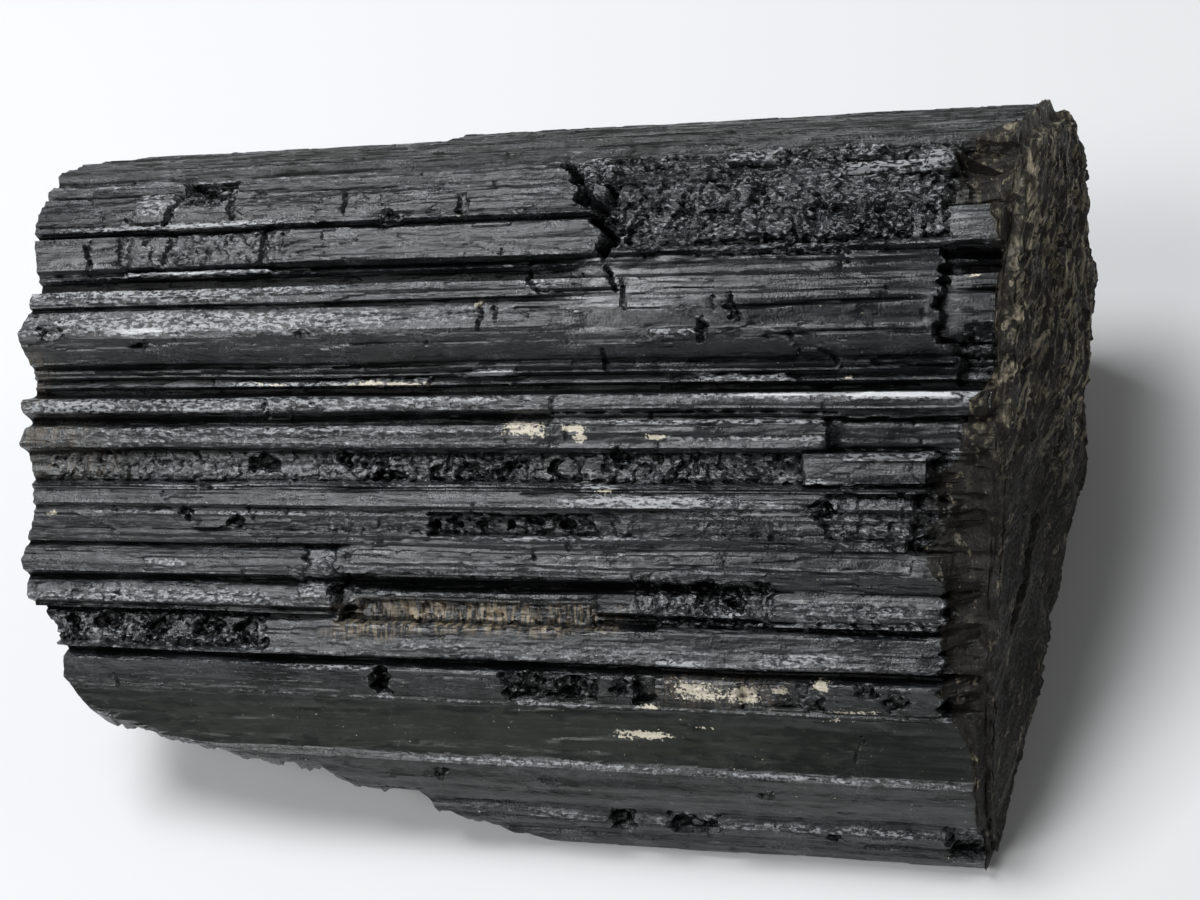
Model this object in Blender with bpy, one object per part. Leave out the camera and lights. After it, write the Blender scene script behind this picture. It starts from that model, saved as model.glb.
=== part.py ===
# A stout black tourmaline crystal, lying on one of its prism faces.
# The prism is fluted along its length, its ends are broken, and a crust of mica schist covers the
# right end. X runs along the crystal, Y across to the back and Z up from the face it lies on.
# Shapes are worked out in millimetres and turned into metres where the meshes are made.

import math

import bmesh
import bpy
import numpy as np
from mathutils import Vector
from mathutils.geometry import delaunay_2d_cdt

MM = 0.001

# Driving sizes in millimetres.
LEFT_END = -50.0
RIGHT_END = 43.2  # along the front face
RIGHT_PLANE = 46.5  # where the slanted right end would meet the X axis
RIGHT_SLANT = (0.112, -0.07)  # what the right end gains for each mm of Y and of Z
RIGHT_REACH = 38.0  # the length over which stations lean into that slant
LEFT_REACH = 6.0
CONTACT_GAP = 0.3  # between crystal and crust
BOX_MIDDLE = (-0.37, -0.24)  # what is taken off X and Y, so that the origin is under the middle
EDGE_SOFTNESS = 0.9
LEDGE_WALL = 0.4
STATION_STEP = 2.7
NOISE_SEED = 11

# The prism's corners (Y, Z), from the lower front edge up the fluted front, over the top and down
# the back. Between the last one and the first lies the flat face that it rests on.
SECTION = [
    (-34.5, 0.0), (-32.3, 9.8), (-25.7, 18.4), (-10.4, 31.4), (1.7, 40.2), (10.6, 43.4),
    (16.9, 42.6), (33.7, 30.9), (29.5, 8.6), (16.0, 0.0),
]
FIRST_ARC = -2.0  # arc position of the first corner; zero is the lowest flute's foot
BACK_CORNER_ARC = 129.0  # arc position of the last corner

# Flutes: (arc position round the section, height over it). Straight flats run between these.
FRONT_FLUTES = [
    (0.2, 0.2), (1.4, 0.1), (3.3, 0.6), (4.3, 0.1), (9.0, 0.3), (10.1, -0.2), (15.1, -0.3),
    (15.8, 0.1), (18.4, 0.3), (19.0, -1.0), (19.8, 0.6), (22.7, 0.3), (23.3, -0.5), (24.3, 0.5),
    (25.8, 0.4), (26.4, -0.5), (27.3, 0.5), (29.3, 0.3), (29.9, -0.4), (31.0, 0.1), (33.1, 0.1),
    (33.9, 0.6), (35.2, 0.2), (36.0, -0.6), (38.7, -0.6), (39.3, 0.4), (41.0, 0.8), (41.8, -0.4),
    (42.6, 0.5), (43.9, 0.6), (44.5, -1.8), (45.8, -1.4), (47.0, -0.5), (48.0, 0.5), (49.8, 0.9),
    (52.3, 0.6), (52.8, 0.0), (53.3, 0.5), (54.4, 0.2), (54.9, -1.2), (56.0, -1.0), (57.0, 0.3),
    (60.2, 0.5), (60.7, -0.3), (61.3, 0.6), (64.7, 0.4), (65.3, -0.2), (66.0, 0.6), (67.8, 0.2),
    (68.5, -0.8), (69.9, 0.3),
]
BACK_FLUTES = [
    (73.5, 0.2), (74.3, -0.5), (75.2, 0.3), (77.6, 0.4), (78.2, -0.1), (80.5, 0.3), (81.3, -0.5),
    (82.2, 0.3), (88.6, 0.2), (91.5, 0.3), (93.6, 0.5), (94.2, 0.0), (96.0, 0.4), (97.0, -0.9),
    (98.0, 0.3), (100.8, 0.6), (101.4, 0.0), (104.0, 0.5), (105.0, -1.2), (106.2, 0.3),
    (108.3, 0.5), (108.9, -0.1), (111.0, 0.4), (112.6, -0.5), (114.0, 0.4), (116.2, 0.6),
    (116.9, 0.0), (119.0, 0.4), (120.0, -1.0), (121.0, 0.3), (123.4, 0.5), (124.0, 0.0),
    (126.0, 0.2), (128.2, 0.0),
]

# Ledges, recesses and rough patches: X from and to, arc from and to, height added, roughness.
PATCHES = [
    (-50.0, -24.5, 19.8, 23.3, -1.1, 0.30),  # dark pitted zone, lower left
    (-20.0, -17.0, 26.4, 29.9, -0.5, 0.20),
    (-17.0, 14.0, 22.7, 27.3, -1.3, 0.12),  # long recess that the lower left block ends at
    (14.0, 25.0, 23.3, 27.3, -0.4, 0.45),  # lumps
    (27.5, 38.5, 22.7, 23.3, -0.4, 0.25),
    (-13.5, -12.0, 15.8, 18.4, -1.1, 0.10),
    (-0.5, 8.5, 15.8, 18.4, -0.8, 0.30),
    (12.0, 14.0, 15.8, 18.4, -1.0, 0.20),
    (22.0, 29.5, 15.8, 18.4, -0.4, 0.25),
    (8.5, 10.5, 1.4, 4.3, -0.8, 0.20),
    (14.0, 19.0, 1.4, 4.3, -0.9, 0.30),
    (40.0, 43.2, 0.2, 4.3, -1.2, 0.25),
    (-7.5, 8.5, 31.0, 33.1, -0.8, 0.25),  # row of small pits
    (-48.0, 27.5, 36.0, 38.7, -0.2, 0.40),  # pitted strip along the middle
    (-20.0, 27.5, 31.0, 33.1, -0.1, 0.15),
    (27.5, 38.5, 36.0, 38.7, 0.8, 0.05),
    (29.5, 43.2, 38.7, 41.8, -0.9, 0.05),  # the middle column ends
    (29.5, 36.8, 31.0, 35.2, -0.6, 0.20),
    (36.8, 43.2, 29.9, 35.2, -1.5, 0.25),
    (38.5, 43.2, 35.2, 38.7, -1.2, 0.20),
    (40.0, 43.2, 15.8, 29.9, -1.4, 0.20),  # short columns of the lower right
    (38.5, 43.2, 48.0, 57.0, -1.6, 0.05),  # striated block behind a square ledge
    (40.0, 43.2, 44.5, 48.0, -0.8, 0.10),
    (-35.5, -29.5, 64.7, 68.5, -1.4, 0.25),  # small dark hollow, upper left
    (-38.0, -24.5, 57.0, 60.7, -0.2, 0.15),
    (5.5, 8.5, 57.0, 68.5, -2.2, 0.20),  # cleft that the upper left group ends at
    (8.5, 38.5, 57.0, 64.7, -0.9, 0.45),  # granular zone, upper right
    (8.5, 38.5, 66.0, 69.9, -0.4, 0.35),
    (38.5, 43.2, 60.2, 68.5, -1.3, 0.10),
    (-50.0, -13.5, 82.2, 91.5, -0.6, 0.00),  # upper rim is lower along the left
    (-20.0, 14.0, 98.0, 104.0, -1.4, 0.10),
    (19.0, 43.2, 106.2, 111.0, -1.2, 0.15),
    (-50.0, -35.5, 114.0, 119.0, -1.3, 0.20),
    (-4.0, 29.5, 121.0, 126.0, -1.0, 0.30),
    (-29.5, -12.0, 91.5, 96.0, -0.7, 0.20),
]

# The slanted break at the lower left: X, and the arc position where it cuts the front face.
BREAK_EDGE = [
    (-50.0, 16.2), (-47.5, 14.4), (-44.0, 12.4), (-36.0, 10.3), (-27.0, 8.8), (-20.0, 8.2),
    (-17.0, 5.6), (-10.5, 5.3), (-8.7, 2.8), (-3.5, 0.6), (0.8, -1.0), (2.5, -1.6),
]
BREAK_UNDERCUT = 1.55  # how far it runs back for each mm that it drops
BREAK_LINE_STEP = 0.12  # spacing of the lines that the break has pushed together

# The left end: arc position, and the X that its columns reach.
LEFT_EDGE = [
    (-2.0, -47.7), (15.0, -47.4), (18.5, -46.6), (21.0, -47.6), (24.0, -50.1), (28.0, -50.9),
    (34.0, -49.2), (39.5, -50.7), (41.5, -49.9), (43.5, -50.7), (45.0, -50.2), (48.0, -50.3),
    (50.5, -50.9), (52.8, -49.9), (56.0, -49.9), (61.0, -50.9), (65.0, -50.9), (70.0, -52.1),
    (76.0, -53.1), (90.0, -52.2), (97.0, -50.0), (104.0, -51.2), (112.0, -49.8), (119.0, -51.0),
    (129.0, -49.8),
]
END_BLOCK = 7.5  # width of the blocks that the left end broke into
END_STEP = 1.0
END_HOLLOW = 0.5
END_SPACING = 2.6  # between the points that carry the broken end's relief

# The crust: arc position, and how far its rim stands out of the slanted end there.
CRUST_RIM = [
    (-2.0, 0.5), (16.0, 0.8), (38.0, 1.2), (57.0, 1.4), (69.9, 1.8), (90.0, 1.8), (96.0, 2.9),
    (103.0, 2.1), (109.0, 2.8), (114.0, 3.0), (119.5, 1.7), (125.0, 1.7), (132.0, 3.4),
    (139.0, 2.6), (143.5, 2.4), (149.0, 1.1), (156.0, 0.7), (166.0, 0.7), (178.5, 0.5),
]
CRUST_POINTS = 64
CRUST_SPACING = 1.9
CRUST_INSET = 0.985
CRUST_SHOULDER = 0.96
CRUST_MIDDLE = 3.2  # its thickness over the middle of the end
CRUST_THINNEST = 0.5
FOLIA_PITCH = 7.5  # spacing of the schist's plates
FOLIA_STEP = 2.0
FOLIA_LEAN = (0.24, -0.97)  # across the plates' edges, which run from front to back and rise

MATERIALS = {
    "tourmaline_crystal": ((0.016, 0.017, 0.018), 0.3),
    "mica_schist_crust": ((0.055, 0.047, 0.033), 0.8),
}


def smoothstep(value):
    value = np.clip(value, 0.0, 1.0)
    return value * value * (3.0 - 2.0 * value)


def follow(pairs, at):
    """Reads a list of (position, value) pairs at any position between them."""
    where, value = zip(*pairs)
    return np.interp(at, where, value)


def lattice_noise(first, second, seed=0):
    """Smooth noise from -1 to 1 over two coordinates, one lump for each unit."""
    grid = np.random.default_rng(NOISE_SEED + seed).uniform(-1.0, 1.0, (64, 64))
    low_first = np.floor(first).astype(int)
    low_second = np.floor(second).astype(int)
    across = smoothstep(first - low_first)
    along = smoothstep(second - low_second)

    def corner(i, j):
        return grid[(low_first + i) % 64, (low_second + j) % 64]

    near = corner(0, 0) * (1 - across) + corner(1, 0) * across
    far = corner(0, 1) * (1 - across) + corner(1, 1) * across
    return near * (1 - along) + far * along


def block_steps(first, second, seed=0):
    """Steps from -1 to 1 over two coordinates: one level for each uneven block."""
    random = np.random.default_rng(NOISE_SEED + seed)
    shift = random.uniform(0.1, 0.9, (64, 64, 2))
    level = random.uniform(-1.0, 1.0, (64, 64))
    nearest = np.full(np.shape(first), np.inf)
    found = np.zeros(np.shape(first))
    for i in (-1, 0, 1):
        for j in (-1, 0, 1):
            column = np.floor(first).astype(int) + i
            row = np.floor(second).astype(int) + j
            cell = shift[column % 64, row % 64]
            away = (column + cell[..., 0] - first) ** 2 + (row + cell[..., 1] - second) ** 2
            found = np.where(away < nearest, level[column % 64, row % 64], found)
            nearest = np.minimum(away, nearest)
    return found


class Outline:
    """The section's closed outline with softened corners, read by arc position."""

    def __init__(self, step=0.1):
        corners = np.array(SECTION + SECTION[:1])
        sides = np.linalg.norm(np.diff(corners, axis=0), axis=1)
        at_corner = FIRST_ARC + np.concatenate([[0.0], np.cumsum(sides)])
        count = int(round(sides.sum() / step))
        self.arc = np.linspace(at_corner[0], at_corner[-1], count, endpoint=False)
        self.length = sides.sum()
        self.y = self.soften(np.interp(self.arc, at_corner, corners[:, 0]), step)
        self.z = self.soften(np.interp(self.arc, at_corner, corners[:, 1]), step)
        slope_y = np.roll(self.y, -1) - np.roll(self.y, 1)
        slope_z = np.roll(self.z, -1) - np.roll(self.z, 1)
        size = np.hypot(slope_y, slope_z)
        self.out_y = -slope_z / size
        self.out_z = slope_y / size

    def soften(self, values, step):
        reach = int(4 * EDGE_SOFTNESS / step)
        weights = np.exp(-0.5 * (np.arange(-reach, reach + 1) * step / EDGE_SOFTNESS) ** 2)
        wrapped = np.concatenate([values[-reach:], values, values[:reach]])
        return np.convolve(wrapped, weights / weights.sum(), mode="valid")

    def read(self, values, at):
        return np.interp(at, self.arc, values, period=self.length)

    def point(self, at, height):
        """Y and Z of the surface at an arc position, raised by a height."""
        y = self.read(self.y, at) + height * self.read(self.out_y, at)
        z = self.read(self.z, at) + height * self.read(self.out_z, at)
        return y, z


OUTLINE = Outline()


def right_end(y, z):
    """X of the slanted right end."""
    return RIGHT_PLANE + RIGHT_SLANT[0] * y + RIGHT_SLANT[1] * z


def patch_weight(x, arc, patch):
    from_x, to_x, from_arc, to_arc = patch[:4]
    half = LEDGE_WALL / 2
    inside = smoothstep((x - from_x + half) / LEDGE_WALL)
    if to_x < RIGHT_END:
        inside = inside * smoothstep((to_x + half - x) / LEDGE_WALL)
    if from_x <= LEFT_END:
        inside = np.where(x < from_x + half, 1.0, inside)
    return inside * ((arc >= from_arc) & (arc <= to_arc))


def relief(x, arc):
    """Height of the fluted surface over the plain prism."""
    height = follow([(FIRST_ARC, 0.0)] + FRONT_FLUTES + BACK_FLUTES, arc)
    lumps = lattice_noise(x / 2.3, arc / 1.7) + 0.6 * lattice_noise(x / 1.1, arc / 0.9, 5)
    for patch in PATCHES:
        height = height + patch_weight(x, arc, patch) * (patch[4] + patch[5] * lumps)
    return height


def stations():
    """X positions of the sections: both sides of every ledge, and steps between them."""
    found = [LEFT_END, LEFT_END + 1.2, RIGHT_END - 1.2, RIGHT_END]
    for bound in sorted({bound for patch in PATCHES for bound in patch[:2]}):
        if LEFT_END < bound < RIGHT_END:
            found += [bound - LEDGE_WALL / 2, bound + LEDGE_WALL / 2]
    found = sorted(found)
    filled = []
    for here, after in zip(found, found[1:]):
        steps = max(1, math.ceil((after - here) / STATION_STEP))
        filled += [here + (after - here) * step / steps for step in range(steps)]
    return np.array(filled + [RIGHT_END])


def lean_ends(x, arc, y, z):
    """Moves stations near the ends onto the uneven left end and the slanted right end."""
    near_left = 1 - smoothstep((x - LEFT_END) / LEFT_REACH)
    near_right = smoothstep((x - RIGHT_END + RIGHT_REACH) / RIGHT_REACH)
    to_left = follow(LEFT_EDGE, arc) - LEFT_END
    return x + near_left * to_left + near_right * (right_end(y, z) - RIGHT_END)


def crystal_sections():
    """The sections as an array of points: station, line round the section, coordinate."""
    x = stations()[:, None]
    lines = np.array([0.2] + [arc for arc, _ in FRONT_FLUTES + BACK_FLUTES])
    cut = follow(BREAK_EDGE, x)
    arc = np.maximum(lines, cut + BREAK_LINE_STEP * np.arange(len(lines)))
    y, z = OUTLINE.point(arc, relief(x, arc))
    face = np.stack([lean_ends(x, arc, y, z), y, np.maximum(z, 0.3)], axis=2)

    edge_y, edge_z = OUTLINE.point(cut, relief(x, cut))
    floor_y = edge_y + BREAK_UNDERCUT * edge_z
    back_y = np.full_like(floor_y, SECTION[-1][0])
    floor_share = np.array([0.0, 0.5, 1.0])
    y = back_y + (floor_y - back_y) * floor_share
    arc = BACK_CORNER_ARC + (OUTLINE.length + FIRST_ARC - BACK_CORNER_ARC) * floor_share
    floor = np.stack([lean_ends(x, np.minimum(arc, BACK_CORNER_ARC), y, 0 * y), y, 0 * y], axis=2)

    share = np.array([0.22, 0.48, 0.74])
    hollow = 1.3 * lattice_noise(x / 6.0, share * 3.0, 3) * smoothstep((3.0 - x) / 14.0)
    y = floor_y + (edge_y - floor_y) * share + 0.54 * hollow
    z = edge_z * share + 0.84 * hollow
    fall = np.stack([lean_ends(x, 0 * y, y, z), y, np.maximum(z, 0.2)], axis=2)
    return np.concatenate([face, floor, fall], axis=1)


def add_rings(mesh, sections):
    """Adds one closed ring of vertices for each section, and the faces between them."""
    rings = [[mesh.verts.new(point) for point in section] for section in sections]
    for ring, following in zip(rings, rings[1:]):
        count = len(ring)
        for i in range(count):
            j = (i + 1) % count
            mesh.faces.new((ring[i], ring[j], following[j], following[i]))
    return rings


def inside(points, rim, clearance):
    """Which points lie within a closed rim, at least a clearance away from its corners."""
    y, z = points[:, :1], points[:, 1:]
    after = np.roll(rim, -1, axis=0)
    crosses = (rim[:, 1] > z) != (after[:, 1] > z)
    rise = np.where(crosses, after[:, 1] - rim[:, 1], 1.0)
    reach = rim[:, 0] + (z - rim[:, 1]) * (after[:, 0] - rim[:, 0]) / rise
    within = (crosses & (y < reach)).sum(axis=1) % 2 == 1
    away = np.hypot(y - rim[:, 0], z - rim[:, 1]).min(axis=1)
    return within & (away > clearance)


def fill_end(mesh, ring, rim, spacing, surface):
    """Fills a ring of vertices with even triangles, whose X a function of Y and Z gives."""
    low, high = rim.min(axis=0), rim.max(axis=0)
    row = spacing * math.sqrt(0.75)
    y, z = np.meshgrid(np.arange(low[0], high[0], spacing), np.arange(low[1], high[1], row))
    y[1::2] += spacing / 2
    grid = np.stack([y.ravel(), z.ravel()], axis=1)
    grid = grid + np.random.default_rng(NOISE_SEED).uniform(-0.25, 0.25, grid.shape) * spacing
    grid = grid[inside(grid, rim, 0.45 * spacing)]
    x = surface(grid[:, 0], grid[:, 1])
    inner = to_metres(np.column_stack([x, grid]))
    verts = list(ring) + [mesh.verts.new(point) for point in inner]
    flat = [Vector(point) for point in np.concatenate([rim, grid])]
    found = delaunay_2d_cdt(flat, [], [list(range(len(rim)))], 1, 1e-6)
    triangles, origins = found[2], found[3]
    for triangle in triangles:
        mesh.faces.new([verts[origins[i][0]] for i in triangle])


def finish_mesh(mesh, name, flatness):
    """Merges what is flat, turns the faces outward and makes the object."""
    bmesh.ops.recalc_face_normals(mesh, faces=mesh.faces)
    bmesh.ops.dissolve_limit(
        mesh, angle_limit=math.radians(flatness), verts=mesh.verts, edges=mesh.edges
    )
    bmesh.ops.triangulate(mesh, faces=mesh.faces)
    data = bpy.data.meshes.new(name)
    mesh.to_mesh(data)
    mesh.free()
    data.materials.append(stone_material(name))
    return bpy.data.objects.new(name, data)


def stone_material(name):
    colour, roughness = MATERIALS[name]
    material = bpy.data.materials.new(name)
    material.use_nodes = True
    shader = material.node_tree.nodes["Principled BSDF"]
    shader.inputs["Base Color"].default_value = (*colour, 1.0)
    shader.inputs["Roughness"].default_value = roughness
    return material


def to_metres(points):
    return (np.asarray(points) - (*BOX_MIDDLE, 0.0)) * MM


def broken_end(y, z):
    """X of the left end: column blocks broken off at different levels, over a slight hollow."""
    blocks = block_steps(y / END_BLOCK, z / END_BLOCK, 8)
    hollow = lattice_noise(y / 5.0, z / 5.0, 9)
    return LEFT_END + END_HOLLOW * (1 + hollow) + END_STEP * blocks


def tourmaline_crystal():
    sections = crystal_sections()
    mesh = bmesh.new()
    rings = add_rings(mesh, [to_metres(section) for section in sections])
    fill_end(mesh, rings[0], sections[0][:, 1:], END_SPACING, broken_end)
    mesh.faces.new(rings[-1])
    return finish_mesh(mesh, "tourmaline_crystal", flatness=1.5)


def schist_face(y, z, rim_height, share):
    """X of the crust's outer face, at a share of the way out from its middle to its rim."""
    across = y * FOLIA_LEAN[0] + z * FOLIA_LEAN[1]
    across = across / FOLIA_PITCH + 0.4 * lattice_noise(y / 14.0, z / 14.0, 21)
    plate = across - np.floor(across)
    inward = 1 - share ** 3
    height = rim_height * (1 - inward) + CRUST_MIDDLE * inward
    height = height + inward ** 0.5 * FOLIA_STEP * (plate - 0.5)
    height = height + inward * 0.5 * lattice_noise(y / 4.0, z / 4.0, 22)
    return right_end(y, z) + CONTACT_GAP + np.maximum(height, CRUST_THINNEST)


def mica_schist_crust():
    arc = FIRST_ARC + 1.2 + (OUTLINE.length - 2.4) * np.arange(CRUST_POINTS) / (CRUST_POINTS - 1)
    y, z = OUTLINE.point(arc, -0.2 + 0.5 * lattice_noise(arc / 5.0, arc * 0, 24))
    middle = np.array([np.mean(y), np.mean(z)])

    def drawn_in(share):
        drawn_z = middle[1] + (z - middle[1]) * share
        return middle[0] + (y - middle[0]) * share, np.maximum(drawn_z, 0.35)

    contact_y, contact_z = drawn_in(CRUST_INSET)
    height = follow(CRUST_RIM, arc)
    contact = right_end(contact_y, contact_z) + CONTACT_GAP
    edge_y, edge_z = drawn_in(CRUST_SHOULDER)
    bearing = np.arctan2(edge_z - middle[1], edge_y - middle[0])
    order = np.argsort(bearing)
    rim_reach = np.hypot(edge_y - middle[0], edge_z - middle[1])

    def outer(at_y, at_z):
        turn = np.arctan2(at_z - middle[1], at_y - middle[0])
        reach = np.interp(turn, bearing[order], rim_reach[order], period=2 * math.pi)
        rim_height = np.interp(turn, bearing[order], height[order], period=2 * math.pi)
        share = np.minimum(np.hypot(at_y - middle[0], at_z - middle[1]) / reach, 1.0)
        return schist_face(at_y, at_z, rim_height, share)

    rings = [
        np.stack([contact, contact_y, contact_z], axis=1),
        np.stack([contact + 0.55 * height, contact_y, contact_z], axis=1),
        np.stack([outer(edge_y, edge_z), edge_y, edge_z], axis=1),
    ]
    mesh = bmesh.new()
    made = add_rings(mesh, [to_metres(ring) for ring in rings])
    mesh.faces.new(made[0])
    fill_end(mesh, made[-1], rings[-1][:, 1:], CRUST_SPACING, outer)
    return finish_mesh(mesh, "mica_schist_crust", flatness=1.0)


def main():
    for old in list(bpy.data.objects):
        bpy.data.objects.remove(old)
    collection = bpy.data.collections.new("tourmaline_specimen")
    bpy.context.scene.collection.children.link(collection)
    crystal = tourmaline_crystal()
    crust = mica_schist_crust()
    for piece in (crystal, crust):
        collection.objects.link(piece)
    crust.parent = crystal


main()
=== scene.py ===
import math

import bmesh
import bpy
import numpy as np
from mathutils import Matrix, Vector
from mathutils.geometry import delaunay_2d_cdt


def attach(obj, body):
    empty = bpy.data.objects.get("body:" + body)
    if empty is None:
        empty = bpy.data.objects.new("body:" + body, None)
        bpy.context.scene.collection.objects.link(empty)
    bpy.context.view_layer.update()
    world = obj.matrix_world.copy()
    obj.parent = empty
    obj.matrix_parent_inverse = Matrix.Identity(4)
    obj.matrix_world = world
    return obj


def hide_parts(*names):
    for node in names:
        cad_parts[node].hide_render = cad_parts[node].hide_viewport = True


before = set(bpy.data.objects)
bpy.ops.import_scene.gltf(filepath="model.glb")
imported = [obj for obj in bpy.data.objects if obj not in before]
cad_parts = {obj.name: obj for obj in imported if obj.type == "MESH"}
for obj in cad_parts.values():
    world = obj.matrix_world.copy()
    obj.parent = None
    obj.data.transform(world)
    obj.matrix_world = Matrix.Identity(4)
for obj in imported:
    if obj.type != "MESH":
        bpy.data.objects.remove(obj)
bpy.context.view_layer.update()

# The scene of a stout black tourmaline crystal that lies on one of its prism faces.
# Shapes are worked out in millimetres: X runs along the crystal, and a point on its surface is
# given by its station (X before the ends are leaned) and its arc position round the section.

mm = 0.001

prism = {
    "leftEnd": -50.0,
    "rightEnd": 43.2,
    "leftReach": 6.0,
    "rightReach": 38.0,
    "rightPlane": 46.5,
    "rightSlant": (0.112, -0.07),
    "contactGap": 0.3,           # between the crystal and its crust
    "boxMiddle": (-0.37, -0.24),   # taken off X and Y, so that the origin is under the middle
    "edgeSoftness": 0.9,
    "firstArc": -2.0,
    "backCornerArc": 129.0,
    "corners": [
        (-34.5, 0), (-32.3, 9.8), (-25.7, 18.4), (-10.4, 31.4), (1.7, 40.2), (10.6, 43.4),
        (16.9, 42.6), (33.7, 30.9), (29.5, 8.6), (16, 0),
    ],
    # where the slanted break at the lower left cuts the front: station, arc position
    "breakEdge": [
        (-50, 16.2), (-47.5, 14.4), (-44, 12.4), (-36, 10.3), (-27, 8.8), (-20, 8.2),
        (-17, 5.6), (-10.5, 5.3), (-8.7, 2.8), (-3.5, 0.6), (0.8, -1), (2.5, -1.6),
    ],
    "breakUndercut": 1.55,
    # how far the columns reach at the left end: arc position, X
    "leftEdge": [
        (-2, -47.7), (15, -47.4), (18.5, -46.6), (21, -47.6), (24, -50.1), (28, -50.9),
        (34, -49.2), (39.5, -50.7), (41.5, -49.9), (43.5, -50.7), (45, -50.2), (48, -50.3),
        (50.5, -50.9), (52.8, -49.9), (56, -49.9), (61, -50.9), (65, -50.9), (70, -52.1),
        (76, -53.1), (90, -52.2), (97, -50), (104, -51.2), (112, -49.8),
        (119, -51), (129, -49.8),
    ],
}


def smoothstep(value):
    value = np.clip(value, 0.0, 1.0)
    return value * value * (3.0 - 2.0 * value)


def follow(pairs, at):
    # reads a list of (position, value) pairs at any position between them
    where, value = zip(*pairs)
    return np.interp(at, where, value)


def latticeNoise(first, second, seed):
    # smooth noise from -1 to 1, one lump for each unit
    table = np.random.default_rng(seed).uniform(-1.0, 1.0, (256, 256))
    first, second = np.broadcast_arrays(first, second)
    lowFirst = np.floor(first).astype(int)
    lowSecond = np.floor(second).astype(int)
    across = smoothstep(first - lowFirst)
    along = smoothstep(second - lowSecond)

    def corner(i, j):
        return table[(lowFirst + i) % 256, (lowSecond + j) % 256]

    near = corner(0, 0) * (1 - across) + corner(1, 0) * across
    far = corner(0, 1) * (1 - across) + corner(1, 1) * across
    return near * (1 - along) + far * along


def facetField(first, second, seed):
    # uneven cells that each have a level and a tilt of their own, from about -1 to 1
    random = np.random.default_rng(seed)
    centre = random.uniform(0.1, 0.9, (256, 256, 2))
    level = random.uniform(-1.0, 1.0, (256, 256))
    tilt = random.uniform(-1.0, 1.0, (256, 256, 2))
    first, second = np.broadcast_arrays(first, second)
    nearest = np.full(first.shape, np.inf)
    height = np.zeros(first.shape)
    for i in (-1, 0, 1):
        for j in (-1, 0, 1):
            column = np.floor(first).astype(int) + i
            row = np.floor(second).astype(int) + j
            place = column % 256, row % 256
            awayFirst = first - column - centre[place][..., 0]
            awaySecond = second - row - centre[place][..., 1]
            away = awayFirst ** 2 + awaySecond ** 2
            closer = away < nearest
            nearest = np.where(closer, away, nearest)
            slope = tilt[place][..., 0] * awayFirst + tilt[place][..., 1] * awaySecond
            height = np.where(closer, level[place] * 0.5 + slope, height)
    return height


def makeOutline(step=0.1):
    corners = np.array(prism["corners"] + prism["corners"][:1])
    sides = np.linalg.norm(np.diff(corners, axis=0), axis=1)
    atCorner = prism["firstArc"] + np.concatenate([[0.0], np.cumsum(sides)])
    count = int(round(sides.sum() / step))
    arc = np.linspace(atCorner[0], atCorner[-1], count, endpoint=False)
    reach = int(4 * prism["edgeSoftness"] / step)
    offsets = np.arange(-reach, reach + 1) * step / prism["edgeSoftness"]
    weights = np.exp(-0.5 * offsets ** 2)
    weights = weights / weights.sum()

    def soften(values):
        wrapped = np.concatenate([values[-reach:], values, values[:reach]])
        return np.convolve(wrapped, weights, mode="valid")

    y = soften(np.interp(arc, atCorner, corners[:, 0]))
    z = soften(np.interp(arc, atCorner, corners[:, 1]))
    slopeY = np.roll(y, -1) - np.roll(y, 1)
    slopeZ = np.roll(z, -1) - np.roll(z, 1)
    size = np.hypot(slopeY, slopeZ)
    return {"arc": arc, "length": sides.sum(), "y": y, "z": z,
            "outY": -slopeZ / size, "outZ": slopeY / size}


outline = makeOutline()


def readOutline(name, at):
    return np.interp(at, outline["arc"], outline[name], period=outline["length"])


def outlinePoint(arc, height):
    y = readOutline("y", arc) + height * readOutline("outY", arc)
    z = readOutline("z", arc) + height * readOutline("outZ", arc)
    return y, z


def rightEnd(y, z):
    return prism["rightPlane"] + prism["rightSlant"][0] * y + prism["rightSlant"][1] * z


def leanEnds(x, arc, y, z):
    # moves stations near the ends onto the uneven left end and the slanted right end
    nearLeft = 1 - smoothstep((x - prism["leftEnd"]) / prism["leftReach"])
    nearRight = smoothstep((x - prism["rightEnd"] + prism["rightReach"]) / prism["rightReach"])
    toLeft = follow(prism["leftEdge"], arc) - prism["leftEnd"]
    return x + nearLeft * toLeft + nearRight * (rightEnd(y, z) - prism["rightEnd"])


def toMetres(points):
    return (np.asarray(points) - (*prism["boxMiddle"], 0.0)) * mm


def insideRim(points, rim, clearance):
    # which points lie within a closed rim, and not too near its corners
    after = np.roll(rim, -1, axis=0)
    within = np.zeros(len(points), bool)
    away = np.full(len(points), np.inf)
    for here, there in zip(rim, after):
        if (here[1] > there[1]) != (there[1] > here[1]):
            crosses = (here[1] > points[:, 1]) != (there[1] > points[:, 1])
            share = (points[:, 1] - here[1]) / (there[1] - here[1])
            within ^= crosses & (points[:, 0] < here[0] + share * (there[0] - here[0]))
        away = np.minimum(away, np.hypot(points[:, 0] - here[0], points[:, 1] - here[1]))
    return within & (away > clearance)


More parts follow.
